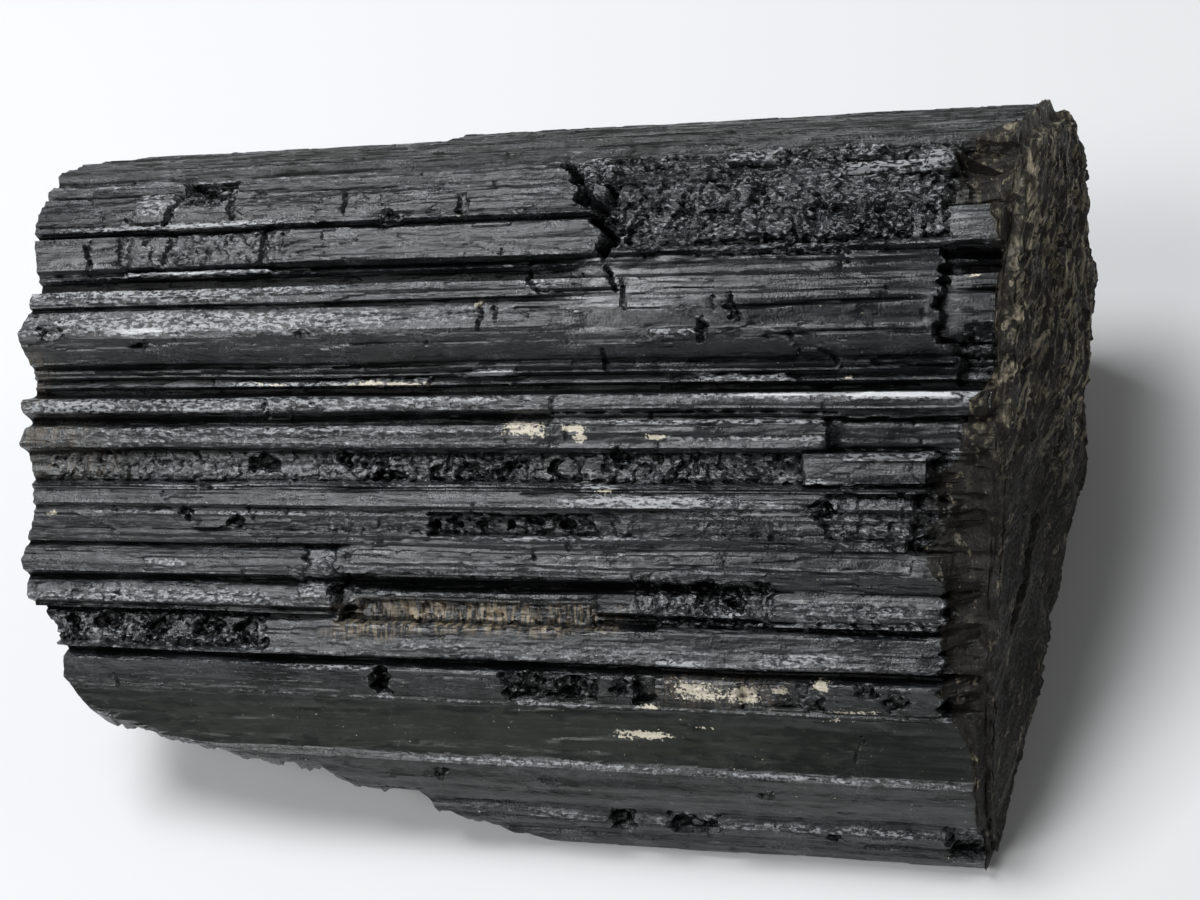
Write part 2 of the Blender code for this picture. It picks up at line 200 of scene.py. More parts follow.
def fillRim(rim, spacing, seed):
    # even points inside a rim of (Y, Z) points, and triangles over the rim's points and them
    low, high = rim.min(axis=0), rim.max(axis=0)
    row = spacing * math.sqrt(0.75)
    y, z = np.meshgrid(np.arange(low[0], high[0], spacing), np.arange(low[1], high[1], row))
    y[1::2] += spacing / 2
    inner = np.stack([y.ravel(), z.ravel()], axis=1)
    inner = inner + np.random.default_rng(seed).uniform(-0.28, 0.28, inner.shape) * spacing
    inner = inner[insideRim(inner, rim, 0.5 * spacing)]
    flat = [Vector(point) for point in np.concatenate([rim, inner])]
    found = delaunay_2d_cdt(flat, [], [list(range(len(rim)))], 1, 1e-6)
    triangles = [[found[3][i][0] for i in triangle] for triangle in found[2]]
    return inner, triangles


# Settings of the crystal's visible surface. Rows give stations, arc positions and heights.
crystal = {
    "name": "tourmaline_crystal_surface",
    "stationStep": 0.27,
    "lineStep": 0.20,
    "backStep": 0.42,
    "fallRows": 26,
    "endSpacing": 0.62,
    "endGrain": 0.06,            # roughness and smoothness of the broken left end
    "endCalm": 0.6,
    "undersideGrain": 0.12,      # and of the break's underside, which has no flutes
    "undersideRidge": 0.55,
    "triangleLimit": 196000,
    "seed": 40,
    "sharpAngle": 27.0,
    # flutes: arc position round the section, height over it
    "flutes": [
        (-2, 0), (0.2, 0.15), (1.2, 0.05), (1.6, 0.2), (2.6, 0.15), (3.2, 0.72), (4.1, 0.15),
        (4.5, 0), (6.5, 0.12), (8.9, 0.28), (9.3, 0.42), (10, -0.1), (10.4, -0.2),
        (12.6, -0.12), (15, -0.28), (15.25, -0.05), (15.6, -0.25), (16, -0.1), (16.6, 0.05),
        (17.6, 0.15), (18.2, 0.35), (18.45, 0.2), (18.7, -0.5), (18.9, -1), (19.3, -0.9),
        (19.6, 0.35), (19.8, 0.6), (20.8, 0.5), (21, 0.38), (22.4, 0.22), (22.7, 0.1),
        (23, -0.35), (23.25, -0.5), (23.45, -0.1), (23.6, -0.25), (23.8, -0.4), (24.2, 0.5),
        (24.4, 0.55), (25.7, 0.3), (26.1, -0.2), (26.4, -0.5), (26.7, -0.3), (27.1, 0.4),
        (27.4, 0.5), (28.1, 0.5), (28.4, 0.35), (29.3, 0.22), (29.6, -0.2), (29.9, -0.4),
        (30.1, 0), (30.6, 0.12), (30.9, 0.25), (31.15, 0), (31.6, 0.05), (32.4, 0.1),
        (32.8, 0.3), (33.1, 0.05), (33.4, 0.1), (33.8, 0.65), (34.3, 0.5), (34.9, 0.15),
        (35.1, 0.1), (35.25, 0.25), (35.4, 0.05), (35.55, 0.2), (35.75, -0.1), (36, -0.55),
        (36.5, -0.45), (37.5, -0.6), (38.6, -0.65), (38.9, -0.3), (39.2, 0.4), (39.5, 0.6),
        (40.2, 0.72), (40.9, 0.8), (41.15, 0.6), (41.4, -0.1), (41.8, -0.4), (42.1, -0.2),
        (42.6, 0.55), (43, 0.6), (43.7, 0.55), (43.95, 0.3), (44.2, -1.2), (44.5, -1.8),
        (44.9, -1.7), (45.15, -1.2), (45.5, -1.45), (45.8, -1.5), (46.1, -1.1), (46.3, -1.2),
        (46.5, -0.95), (46.7, -0.85), (46.9, -1), (47.2, -0.8), (47.4, -0.4), (48.4, 0.35),
        (49.5, 0.85), (49.75, 0.95), (50.2, 0.95), (51.3, 0.8), (52.4, 0.55), (52.6, 0.2),
        (52.8, 0.15), (53, 0.6), (53.3, 0.6), (53.6, 0.5), (53.8, 0.55), (54.5, 0.25),
        (54.7, -0.6), (55, -1.1), (55.8, -1), (56.05, -0.4), (56.4, -0.6), (56.7, -0.8),
        (57, 0.25), (57.3, 0.35), (58.8, 0.45), (60.1, 0.55), (60.3, 0.4), (60.5, -0.3),
        (60.75, -0.3), (61, 0.6), (61.6, 0.35), (61.8, 0.5), (63.2, 0.5), (64.9, 0.4),
        (65.1, 0), (65.35, -0.25), (65.55, 0.2), (65.9, 0.6), (66.4, 0.62), (67.9, 0.15),
        (68.1, -0.4), (68.5, -0.8), (69.4, -0.5), (69.9, 0.3), (71.6, 0.25), (71.8, 0),
        (72.2, 0.2), (73.5, 0.2), (74.3, -0.5), (75.2, 0.3), (77.6, 0.4), (78.2, -0.1),
        (80.5, 0.3), (81.3, -0.5), (82.2, 0.3), (88.6, 0.2), (91.5, 0.3), (93.6, 0.5),
        (94.2, 0), (96, 0.4), (97, -0.9), (98, 0.3), (100.8, 0.6), (101.4, 0),
        (104, 0.5), (105, -1.2), (106.2, 0.3), (108.3, 0.5), (108.9, -0.1), (111, 0.4),
        (112.6, -0.5), (114, 0.4), (116.2, 0.6), (116.9, 0), (119, 0.4), (120, -1),
        (121, 0.3), (123.4, 0.5), (124, 0), (126, 0.2), (128.2, 0), (129, 0),
    ],
    # lobes along one edge: stations from and to, arc, half width, length of a lobe, shift
    "scallops": (-49.0, -12.0, 67.7, 1.0, 4.3, 0.65),
    # smooth faces where the flutes fade: stations from and to, arc from and to, share, and how
    # far from their edges they fade in, along and across
    "calm": [
        (6, 40.5, 49.6, 57, 0.75, 5, 0.9), (9, 39.5, 57.2, 69.3, 0.95, 5, 0.9),
        (-50, 43.2, 9.8, 15.3, 0.95, 4, 0.5), (-20, 43.2, 4.8, 8.8, 0.6, 5, 0.9),
        (24, 43.2, 23.8, 27.6, 0.6, 4, 0.8), (-50, -40, 56.7, 60.4, 0.8, 3, 0.6),
        (-15, 8.5, 22.4, 24.7, 1, 1, 0.5), (-16, 37, 28.3, 30.8, 0.6, 3, 0.6),
        (-50, -14, 15.7, 18.4, 0.5, 3, 0.6), (4, 29.5, 39.3, 41.2, 0.5, 3, 0.5),
        (30, 41, 38.6, 41.8, 0.7, 1, 0.5),
    ],
    # ledges and recesses: stations from and to, arc from and to, height added, roughness
    "patches": [
        (-50, -24.5, 19.8, 23.3, -1.1, 0.35), (-20, -17, 26.4, 29.9, -0.5, 0.20),
        (-17, 14, 22.7, 27.3, -1.3, 0.06), (14, 25, 23.3, 27.3, -0.4, 0.45),
        (27.5, 38.5, 22.7, 23.3, -0.4, 0.25), (-13.5, -12, 15.8, 18.4, -1.1, 0.10),
        (-0.5, 8.5, 15.8, 18.4, -0.8, 0.30), (12, 14, 15.8, 18.4, -1, 0.20),
        (22, 29.5, 15.8, 18.4, -0.4, 0.25), (8.5, 10.5, 1.4, 4.3, -0.8, 0.20),
        (14, 19, 1.4, 4.3, -0.9, 0.30), (40, 43.2, 0.2, 4.3, -1.2, 0.25),
        (-7.5, 8.5, 31, 33.1, -0.7, 0.25), (-48, -14, 36, 38.7, 0.05, 0.20),
        (-14, 27.5, 36, 38.7, -0.15, 0.36), (-13.5, 8, 22.5, 24.6, 0.05, 0.20),
        (-20, 27.5, 31, 33.1, -0.1, 0.15), (27.5, 38.5, 36, 38.7, 0.8, 0.03),
        (29.5, 43.2, 38.7, 41.8, -0.9, 0.03), (29.5, 36.8, 31, 35.2, -0.6, 0.20),
        (36.8, 43.2, 29.9, 35.2, -1.5, 0.48), (38.5, 43.2, 35.2, 38.7, -1.2, 0.42),
        (40, 43.2, 15.8, 29.9, -1.4, 0.45), (38.5, 43.2, 48, 57, -1.6, 0.03),
        (40, 43.2, 44.5, 48, -0.8, 0.10), (-35.5, -29.5, 64.7, 68.5, -1.2, 0.35),
        (-38, -24.5, 57, 60.7, -0.2, 0.20), (8.8, 38.5, 57.6, 64.7, -0.9, 0.42),
        (8.5, 38.5, 66, 69.2, -0.6, 0.35), (38.5, 43.2, 60.2, 68.5, -1.3, 0.35),
        (9.5, 20, 64.9, 66.2, -0.6, 0.10), (19, 29, 64.7, 66, -0.8, 0.30),
        (-50, -13.5, 82.2, 91.5, -0.6, 0.00), (-20, 14, 98, 104, -1.4, 0.12),
        (19, 43.2, 106.2, 111, -1.2, 0.15), (-50, -35.5, 114, 119, -1.3, 0.20),
        (-4, 29.5, 121, 126, -1, 0.30), (-29.5, -12, 91.5, 96, -0.7, 0.20),
        # smaller ones
        (-49, -24.5, 24, 25.9, 0.10, 0.10), (-41, -22, 57.2, 60.3, 0, 0.18),
        (-40, -36.2, 61.7, 65, 0.18, 0.03), (-29, -12, 61.7, 65, -0.1, 0.08),
        (-40, -24, 56, 56.6, 0.55, 0.10), (-28, -16, 45, 45.6, 0.45, 0.12),
        (-16, -8, 45, 45.8, 0.60, 0.20), (18, 26, 45, 45.8, 0.40, 0.15),
        (-4.5, 0.5, 45.8, 46.3, 0.45, 0.02), (31.5, 41, 43.2, 44, 0.25, 0.02),
        (-48, -40, 42.6, 43.9, 0.10, 0.12), (4, 31, 41.3, 42.2, 0.45, 0.05),
        (-21, -17.5, 25, 28, 0.25, 0.15), (-13, 12, 26.8, 27.3, 0.55, 0.08),
        (-13, 8, 25.3, 25.8, 0.45, 0.08), (12, 14.5, 24, 28, 0.3, 0.30),
        (24, 40, 24.3, 25.6, 0.15, 0.03), (6.5, 19.5, 33.8, 34.9, 0.2, 0.02),
        (30, 36.8, 30, 32.2, 0.1, 0.25), (-16, 37, 28.2, 29.5, -0.15, 0.03),
        (1.7, 10.8, 53.2, 54.6, 0.12, 0.05), (13.5, 18, 48.6, 49.7, 0.25, 0.04),
        (28, 36, 64.6, 66.4, -0.25, 0.03), (17, 30, 56.4, 58.4, -0.3, 0.30),
        (36.3, 38.5, 64.2, 65.9, 0.70, 0.10), (19, 24, 66.9, 68.5, 0.7, 0.35),
        (28, 32, 66.9, 68.5, 0.7, 0.40), (6, 9, 64.5, 67.5, 0.4, 0.25),
        (31, 42, 38, 38.9, 0.35, 0.02), (12, 14, 57, 58.2, 0.3, 0.3),
        (22, 27, 56.6, 58, 0.2, 0.35), (27.5, 39.5, 23.2, 24, 0.3, 0.35),
        (14, 27.5, 23.3, 23.8, 0.25, 0.05),
    ],
    # long plates, lenses and striae along the flutes: kind, height, length, width, lean, seed
    "layers": [
        (facetField, 0.13, 16.0, 1.0, 0.05, 5), (facetField, 0.07, 4.5, 1.6, 0.0, 14),
        (latticeNoise, 0.10, 60.0, 0.5, 0.0, 6), (latticeNoise, 0.07, 30.0, 0.21, 0.0, 7),
        (facetField, 0.035, 0.9, 0.7, 0.0, 8),
    ],
    # blocks of the broken left end: height, width, seed
    "blocks": [(1.4, 4.8, 61), (0.6, 1.7, 62), (0.3, 0.7, 64)],
    # pits: middle station and arc, half length, half width, depth
    "pits": [
        (-24.5, 37.6, 1.6, 0.9, 1), (-16, 38, 0.6, 1, 0.9), (-11.8, 36.5, 1.3, 0.8, 1),
        (-7, 36.9, 0.6, 0.7, 0.8), (-0.2, 36.9, 1.1, 1, 1.1), (4.5, 37.2, 0.6, 0.8, 0.9),
        (10.8, 38.3, 0.9, 0.9, 0.9), (-32.7, 32.9, 0.8, 0.6, 0.8), (-27.2, 32.2, 0.8, 0.5, 0.7),
        (-7, 32, 0.5, 0.6, 0.7), (-5.2, 32.2, 0.6, 0.7, 0.8), (-2.6, 31.9, 0.7, 0.6, 0.7),
        (0.3, 32.1, 0.6, 0.7, 0.8), (2.7, 32.3, 0.7, 0.5, 0.7), (5.6, 32, 0.8, 0.7, 0.8),
        (29.2, 33.8, 0.9, 0.9, 1.1), (18.5, 26.1, 1, 1.2, 1.3), (21.5, 25.4, 0.7, 0.7, 0.9),
        (15.6, 26.4, 0.7, 0.9, 1), (-13, 17.2, 0.9, 1.3, 0.8), (2, 17.3, 1.3, 1, 0.8),
        (5.8, 17, 1.4, 1.1, 0.9), (9.4, 2.8, 1.1, 1.3, 0.9), (15.5, 2.6, 1.3, 1, 0.8),
        (18, 2.2, 1, 0.9, 0.7), (-33.6, 66.6, 1.3, 1.6, 1.2), (-31, 65.6, 1.2, 1.6, 1.2),
        (-32.4, 64, 1.6, 0.9, 0.8), (18.3, 49.4, 0.5, 1.1, 1.1), (39.8, 35.8, 0.9, 1.5, 0.9),
        (42, 47.6, 2, 2.2, 1.2), (-46.5, 21.6, 1.2, 1, 0.9), (-42, 22, 1.6, 1.1, 1),
        (-36.5, 21.5, 1.5, 1, 0.9), (-31, 21.7, 1.8, 1.1, 1), (-26.8, 21.3, 1.2, 1.4, 1.1),
        (-16.5, 25, 1, 2.6, 0.9), (21, 51, 0.6, 0.8, 0.7), (-47, 50.6, 1.4, 0.7, 0.6),
        (-20, 49.8, 1, 0.4, 0.6), (-37, 49, 1.5, 0.4, 0.6), (-40.6, 62, 0.6, 0.5, 0.5),
        (-12.5, 61, 1.2, 1.2, 0.6), (-5, 62.5, 0.6, 1.2, 0.7), (24, 67.4, 1.4, 0.8, 0.9),
        (33.5, 67, 1.2, 0.8, 0.9), (12.5, 67.6, 1.6, 0.8, 0.9), (16, 61.5, 0.5, 2.2, 0.7),
        (27.5, 60.5, 0.5, 2.6, 0.8), (22, 62.5, 0.6, 1.6, 0.7), (33, 59.5, 0.5, 2, 0.7),
        (11.5, 59, 0.6, 1.4, 0.7), (40.8, 65.6, 2.2, 3, 0.8), (41.5, 33, 1.4, 2, 0.9),
        (-8, 8, 1.2, 0.5, 0.4), (24, 7.4, 1, 0.4, 0.4), (30, 2, 0.8, 0.6, 0.5),
        (33.5, 18, 0.9, 0.8, 0.8), (36, 17, 0.9, 1, 0.7), (10.5, 17.4, 0.8, 0.9, 0.9),
    ],
    # clefts and cracks: half width, depth, then the points that they run through
    "cracks": [
        (0.6, 2.2, (3.6, 68.6), (4.9, 67.9), (4.2, 66.9), (5.7, 66), (5.3, 64.9), (6.9, 63.9)),
        (0.6, 2.2, (6.9, 63.9), (6.5, 62.6), (8.2, 61.5), (8.1, 60.2), (9.3, 59.1), (8.9, 57.4)),
        (0.45, 1.1, (6.2, 66.5), (7.8, 66.2), (7.9, 64.4), (9.4, 63.8), (9.2, 61), (10.2, 59.4)),
        (0.22, 0.40, (1.7, 57), (1.9, 54.6), (3.2, 53.3), (10.2, 53.3)),
        (0.20, 0.40, (8.6, 57), (9.6, 55), (10.2, 53.3)),
        (0.20, 0.35, (-2.2, 52.3), (-2.3, 50)), (0.20, 0.30, (-1, 52), (-0.8, 51)),
        (0.18, 0.30, (11, 53.6), (11.2, 51.5)), (0.20, 0.35, (20.6, 52.6), (21.4, 50.4)),
        (0.18, 0.35, (28.4, 47.8), (29.4, 47.3), (30.2, 46.2)), (0.20, 0.4, (9, 47.9), (9.1, 46.4)),
        (0.18, 0.30, (4.4, 41.6), (4.8, 44)), (0.30, 0.5, (-36.4, 61.6), (-34.8, 65.4)),
        (0.35, 0.5, (-29.2, 62), (-30.2, 65.5)), (0.22, 0.4, (-17.3, 62), (-17.5, 64.8)),
        (0.22, 0.4, (-25.6, 56.8), (-25.2, 60.8)), (0.22, 0.4, (-44.2, 56.6), (-44.8, 59.4)),
        (0.25, 0.4, (-36, 57), (-35.2, 60.4)), (0.2, 0.35, (24, 49), (29, 49.3), (37.5, 49.2)),
        (0.2, 0.3, (26, 49.2), (26.6, 47.4)), (0.2, 0.35, (-24, 42.4), (-23.6, 44)),
        (0.2, 0.3, (20, 51.6), (37, 51.9)), (0.2, 0.35, (33, 46.6), (40, 46.2)),
    ],
}


def patchWeight(x, arc, patch, wallX=0.36, wallArc=0.12):
    fromX, toX, fromArc, toArc = patch[:4]
    inside = smoothstep((arc - fromArc) / wallArc + 0.5) * smoothstep((toArc - arc) / wallArc + 0.5)
    if fromX > prism["leftEnd"]:
        inside = inside * smoothstep((x - fromX) / wallX + 0.5)
    if toX < prism["rightEnd"]:
        inside = inside * smoothstep((toX - x) / wallX + 0.5)
    return inside


def pitWeight(x, arc, pit):
    middleX, middleArc, halfLength, halfWidth = pit[:4]
    away = np.hypot((x - middleX) / halfLength, (arc - middleArc) / halfWidth)
    return smoothstep((1.15 - away) / 0.5)


def crackWeight(x, arc, halfWidth, points):
    nearest = np.full(x.shape, np.inf)
    for (startX, startArc), (endX, endArc) in zip(points, points[1:]):
        runX, runArc = endX - startX, endArc - startArc
        share = ((x - startX) * runX + (arc - startArc) * runArc) / (runX ** 2 + runArc ** 2)
        share = np.clip(share, 0.0, 1.0)
        away = np.hypot(x - startX - share * runX, arc - startArc - share * runArc)
        nearest = np.minimum(nearest, away)
    return smoothstep(1.25 - nearest / halfWidth)


def crystalLines():
    # arc positions of the lines along the crystal: every turn of the flutes, and steps between
    turns = [arc for arc, height in crystal["flutes"]]
    lines = []
    for here, after in zip(turns, turns[1:]):
        step = crystal["lineStep"] if here < 90.0 else crystal["backStep"]
        steps = max(1, math.ceil((after - here) / step - 0.01))
        lines += [here + (after - here) * i / steps for i in range(steps)]
    return np.array(lines[1:] + turns[-1:])


def crystalRelief(x, arc):
    # height over the plain prism, and how grainy and how smooth the surface is
    seed = crystal["seed"]
    raggedX = x + 0.45 * latticeNoise(x / 1.6, arc / 0.55, seed + 1)
    raggedArc = arc + 0.10 * latticeNoise(x / 0.9, arc / 0.8, seed + 2)
    fromX, toX, atArc, halfWidth, lobe, shift = crystal["scallops"]
    lobes = np.abs(np.sin(math.pi * (x / lobe + 0.5 * latticeNoise(x / 7.0, 0 * arc, seed + 13))))
    lobes = shift * lobes * np.clip(1 - np.abs(arc - atArc) / halfWidth, 0.0, 1.0)
    lobes = lobes * patchWeight(x, arc, (fromX, toX, atArc - 2.0, atArc + 2.0), 2.0, 1.0)
    sharp = follow(crystal["flutes"], arc + lobes)
    plain = sum(follow(crystal["flutes"], arc + away) for away in np.linspace(-2.6, 2.6, 14)) / 14
    calm = np.zeros(x.shape)
    for *place, share, wallX, wallArc in crystal["calm"]:
        calm = np.maximum(calm, share * patchWeight(raggedX, raggedArc, place, wallX, wallArc))
    height = sharp + calm * (plain - sharp)
    grainy = np.zeros(x.shape)
    wavyX = x + 0.5 * latticeNoise(x / 0.8, arc / 0.5, seed + 9)
    wavyArc = arc + 0.4 * latticeNoise(x / 0.6, arc / 0.6, seed + 10)
    for pit in crystal["pits"]:
        weight = pitWeight(wavyX, wavyArc, pit)
        height -= 0.75 * weight * pit[4]
        grainy = np.maximum(grainy, 0.35 * weight)
    for patch in crystal["patches"]:
        weight = patchWeight(raggedX, raggedArc, patch)
        height += weight * patch[4]
        grainy = np.maximum(grainy, weight * patch[5])
    coarse = facetField(x / 0.85, arc / 1.3, seed + 3)
    coarse = coarse + 0.45 * facetField(x / 0.45, arc / 0.6, seed + 4)
    uneven = 1 + 0.5 * latticeNoise(x / 4.0, arc / 2.5, seed + 15)
    height += 0.95 * grainy * uneven * coarse

    # the fine layers fade where the surface is rough or smooth
    worn = (1 - smoothstep(grainy / 0.3)) * (1 - 0.6 * calm)
    for field, strength, length, width, lean, offset in crystal["layers"]:
        height += worn * strength * field(x / length, (arc - lean * x) / width, seed + offset)

    bentX = x + 0.25 * latticeNoise(x / 2.0, arc / 0.9, seed + 11)
    for halfWidth, depth, *points in crystal["cracks"]:
        height -= depth * crackWeight(bentX, arc, halfWidth, points)
    height -= scatteredNicks(bentX, arc)
    return height, grainy, calm * (1 - smoothstep(grainy / 0.2))


nicks = {"count": 260, "seed": 77, "halfWidth": 0.12}


def scatteredNicks(x, arc):
    # short cracks across the columns
    random = np.random.default_rng(nicks["seed"])
    depth = np.zeros(x.shape)
    for _ in range(nicks["count"]):
        atX = random.uniform(-49.0, 42.0)
        atArc = random.triangular(0.0, 60.0, 128.0)
        reach = random.uniform(0.2, 1.0)
        lean = random.uniform(-0.6, 0.6)
        deep = random.uniform(0.03, 0.22)
        ends = [(atX, atArc - reach), (atX + lean, atArc + reach)]
        near = crackWeight(x, arc, nicks["halfWidth"], ends)
        depth = np.maximum(depth, deep * near)
    return depth


# Pale and coloured marks on the crystal: station, arc, half length, half width, strength.
marks = {
    # worn edges and painted highlights: lit lines, glints and lighter patches
    "wearAndHighlight": [
        (-30, 51.2, 20, 1.1, 0.75), (-37, 50.5, 5, 0.4, 1.15), (-38, 52, 9, 0.4, 0.5),
        (-37, 53.8, 14, 0.7, 0.6), (-38, 63.4, 2.2, 1.4, 0.6), (-34.5, 61.3, 10, 0.28, 1.05),
        (-43, 67.2, 6.5, 0.7, 0.95), (-21, 67.3, 9, 0.5, 0.8), (-32, 56.3, 8, 0.25, 1.1),
        (-18, 45.3, 10, 0.25, 0.9), (22, 45.4, 4, 0.35, 0.6), (-2, 46, 2.6, 0.20, 1.6),
        (25.5, 43.8, 5.5, 0.16, 1.3), (36.3, 43.75, 4.8, 0.25, 1.8), (-44, 43.2, 4.5, 0.6, 0.7),
        (-31.5, 43.2, 1.8, 0.6, 0.7), (-23, 41, 7, 0.25, 0.6), (19, 41.4, 14, 0.16, 0.8),
        (22, 40, 7.5, 0.14, 1.1), (36.5, 38.4, 5.5, 0.35, 0.7), (27.5, 36.3, 1.6, 0.2, 0.8),
        (31.5, 35.9, 1.6, 0.2, 0.8), (8, 35.7, 2.1, 0.22, 0.8), (13, 34.4, 6.5, 0.45, 0.95),
        (23, 34.2, 4, 0.2, 0.6), (24.5, 33.3, 4.6, 0.16, 1.3), (-28, 33, 19, 0.2, 0.6),
        (-32, 35.4, 6, 0.25, 0.5), (4.5, 31, 9.5, 0.15, 0.6), (9, 29.2, 8, 0.15, 0.5),
        (-35, 28.2, 2.2, 0.3, 0.7), (-33, 25, 15, 0.6, 0.5), (-19.5, 26.5, 1.8, 1.4, 0.5),
        (8, 20.8, 31, 0.7, 0.34), (16.5, 20, 1.7, 0.25, 0.9), (27.5, 20.7, 3.8, 0.5, 0.7),
        (-17.5, 18.3, 3.8, 0.2, 0.7), (2, 15.4, 40, 0.15, 0.5), (12, 9.6, 31, 0.22, 0.6),
        (30, 3.6, 11, 0.25, 0.6), (3, 3.6, 5, 0.25, 0.5), (13.5, 3.6, 1.6, 0.25, 0.5),
        (32, 25, 8, 0.5, 0.5), (32, 65.4, 4.4, 0.7, 0.9), (37.4, 65, 1.1, 0.8, 0.9),
        (7.5, 66, 1.4, 1.3, 0.5), (21.5, 67.7, 2.6, 0.8, 0.7), (30, 67.7, 2.2, 0.8, 0.7),
        (15.8, 49.3, 2.3, 0.4, 0.5), (6.5, 55, 4.2, 1.5, 0.25), (15, 52, 6, 1.3, 0.3),
        (-8, 51.4, 9, 0.9, 0.4), (-36, 69, 14, 0.2, 0.4), (30, 24.4, 9, 0.3, 0.4),
        (-18, 37.4, 29, 1.2, 0.36), (-24, 40.3, 22, 0.8, 0.42), (-22, 43.3, 22, 0.5, 0.42),
    ],
    # pale mineral flecks
    "fleck": [
        (2, 40.8, 2, 0.65, 0.68), (6.6, 40.9, 1, 0.22, 1), (7.3, 40.3, 0.25, 0.6, 1),
        (14.2, 40.1, 0.7, 0.18, 0.8), (17.8, 17.4, 2.2, 0.9, 0.64), (22.2, 17.1, 1.5, 0.85, 0.66),
        (25.6, 17.6, 0.7, 0.4, 0.8), (29.4, 18.2, 0.55, 0.45, 0.9), (12.3, 12.8, 2.2, 0.38, 0.9),
        (13.2, 15.5, 1.2, 0.14, 0.6), (18.2, 13.7, 0.8, 0.14, 0.6), (32.5, 15.9, 2.4, 0.12, 0.6),
        (-12, 45.3, 4.2, 0.26, 0.65), (41, 54.4, 0.5, 0.25, 0.9), (-24, 45.3, 3, 0.14, 0.6),
        (30.6, 15.2, 0.5, 0.3, 0.7), (-47.6, 32.6, 0.35, 0.3, 0.8), (30.8, 45, 0.3, 0.5, 0.7),
        (9.6, 35.3, 0.3, 0.2, 0.8), (-5.2, 60.9, 0.2, 0.2, 0.6), (-2.6, 52.3, 0.3, 0.25, 0.7),
    ],
    # faces that shine less
    "dull": [
        (26, 53, 14, 4, 0.9), (24, 61.5, 15, 4.5, 0.7), (30, 46.8, 12, 1.4, 0.7),
        (-2, 72, 27, 3.6, 0.8), (-47, 63, 5, 5, 0.6), (41.5, 52, 2, 4.5, 0.8),
    ],
    # dull olive faces
    "olive": [
        (-5, 12.4, 52, 3.6, 1), (-5, 80.5, 60, 11, 0.8), (5, 6.8, 40, 2.4, 0.5),
    ],
    # rusty film
    "stain": [
        (-3.2, 23.4, 10, 1.1, 1), (-48, 40.5, 4, 1.6, 0.22), (-46, 38, 5, 1.5, 0.2),
        (-49.5, 46, 1.5, 2.5, 0.25), (20, 17.3, 5, 1.4, 0.25), (-14, 22.4, 3, 1, 0.6),
    ],
    # dark schist stuck to the column ends
    "schist": [
        (42.5, 65.5, 3.8, 4.5, 1), (42.6, 31.5, 4.2, 4.2, 0.9), (43, 22, 2.4, 6, 0.9),
        (43, 37, 2.6, 2.4, 0.8), (43.6, 10, 1.2, 8, 0.7), (43.4, 57.5, 1.2, 4, 0.6),
    ],
}


def markField(x, arc, rows):
    ragged = 0.30 * latticeNoise(x / 1.1, arc / 0.35, 301) + 0.18 * latticeNoise(x / 0.4, arc / 0.2, 302)
    field = np.zeros(x.shape)
    for middleX, middleArc, halfLength, halfWidth, strength in rows:
        away = np.sqrt(((x - middleX) / halfLength) ** 4 + ((arc - middleArc) / halfWidth) ** 4) ** 0.5
        field = np.maximum(field, strength * np.clip(1.5 - away + ragged, 0.0, 1.0))
    return field


def brokenEnd(y, z):
    # X of the broken left end: column blocks at different levels, over a slight hollow
    x = prism["leftEnd"] + 0.5 * (1 + latticeNoise(y / 7.5, z / 7.5, 17))
    for strength, width, seed in crystal["blocks"]:
        x = x + strength * facetField(y / width, z / width, seed)
    return x


def leadToRim(inner, rim, reach=5.0):
    # what brings the end's points near the rim to the rim's own X
    away = np.hypot(inner[:, None, 0] - rim[None, :, 1], inner[:, None, 1] - rim[None, :, 2])
    nearest = away.argmin(axis=1)
    near = 1 - smoothstep(away[np.arange(len(inner)), nearest] / reach)
    return near * (rim[nearest, 0] - prism["leftEnd"])


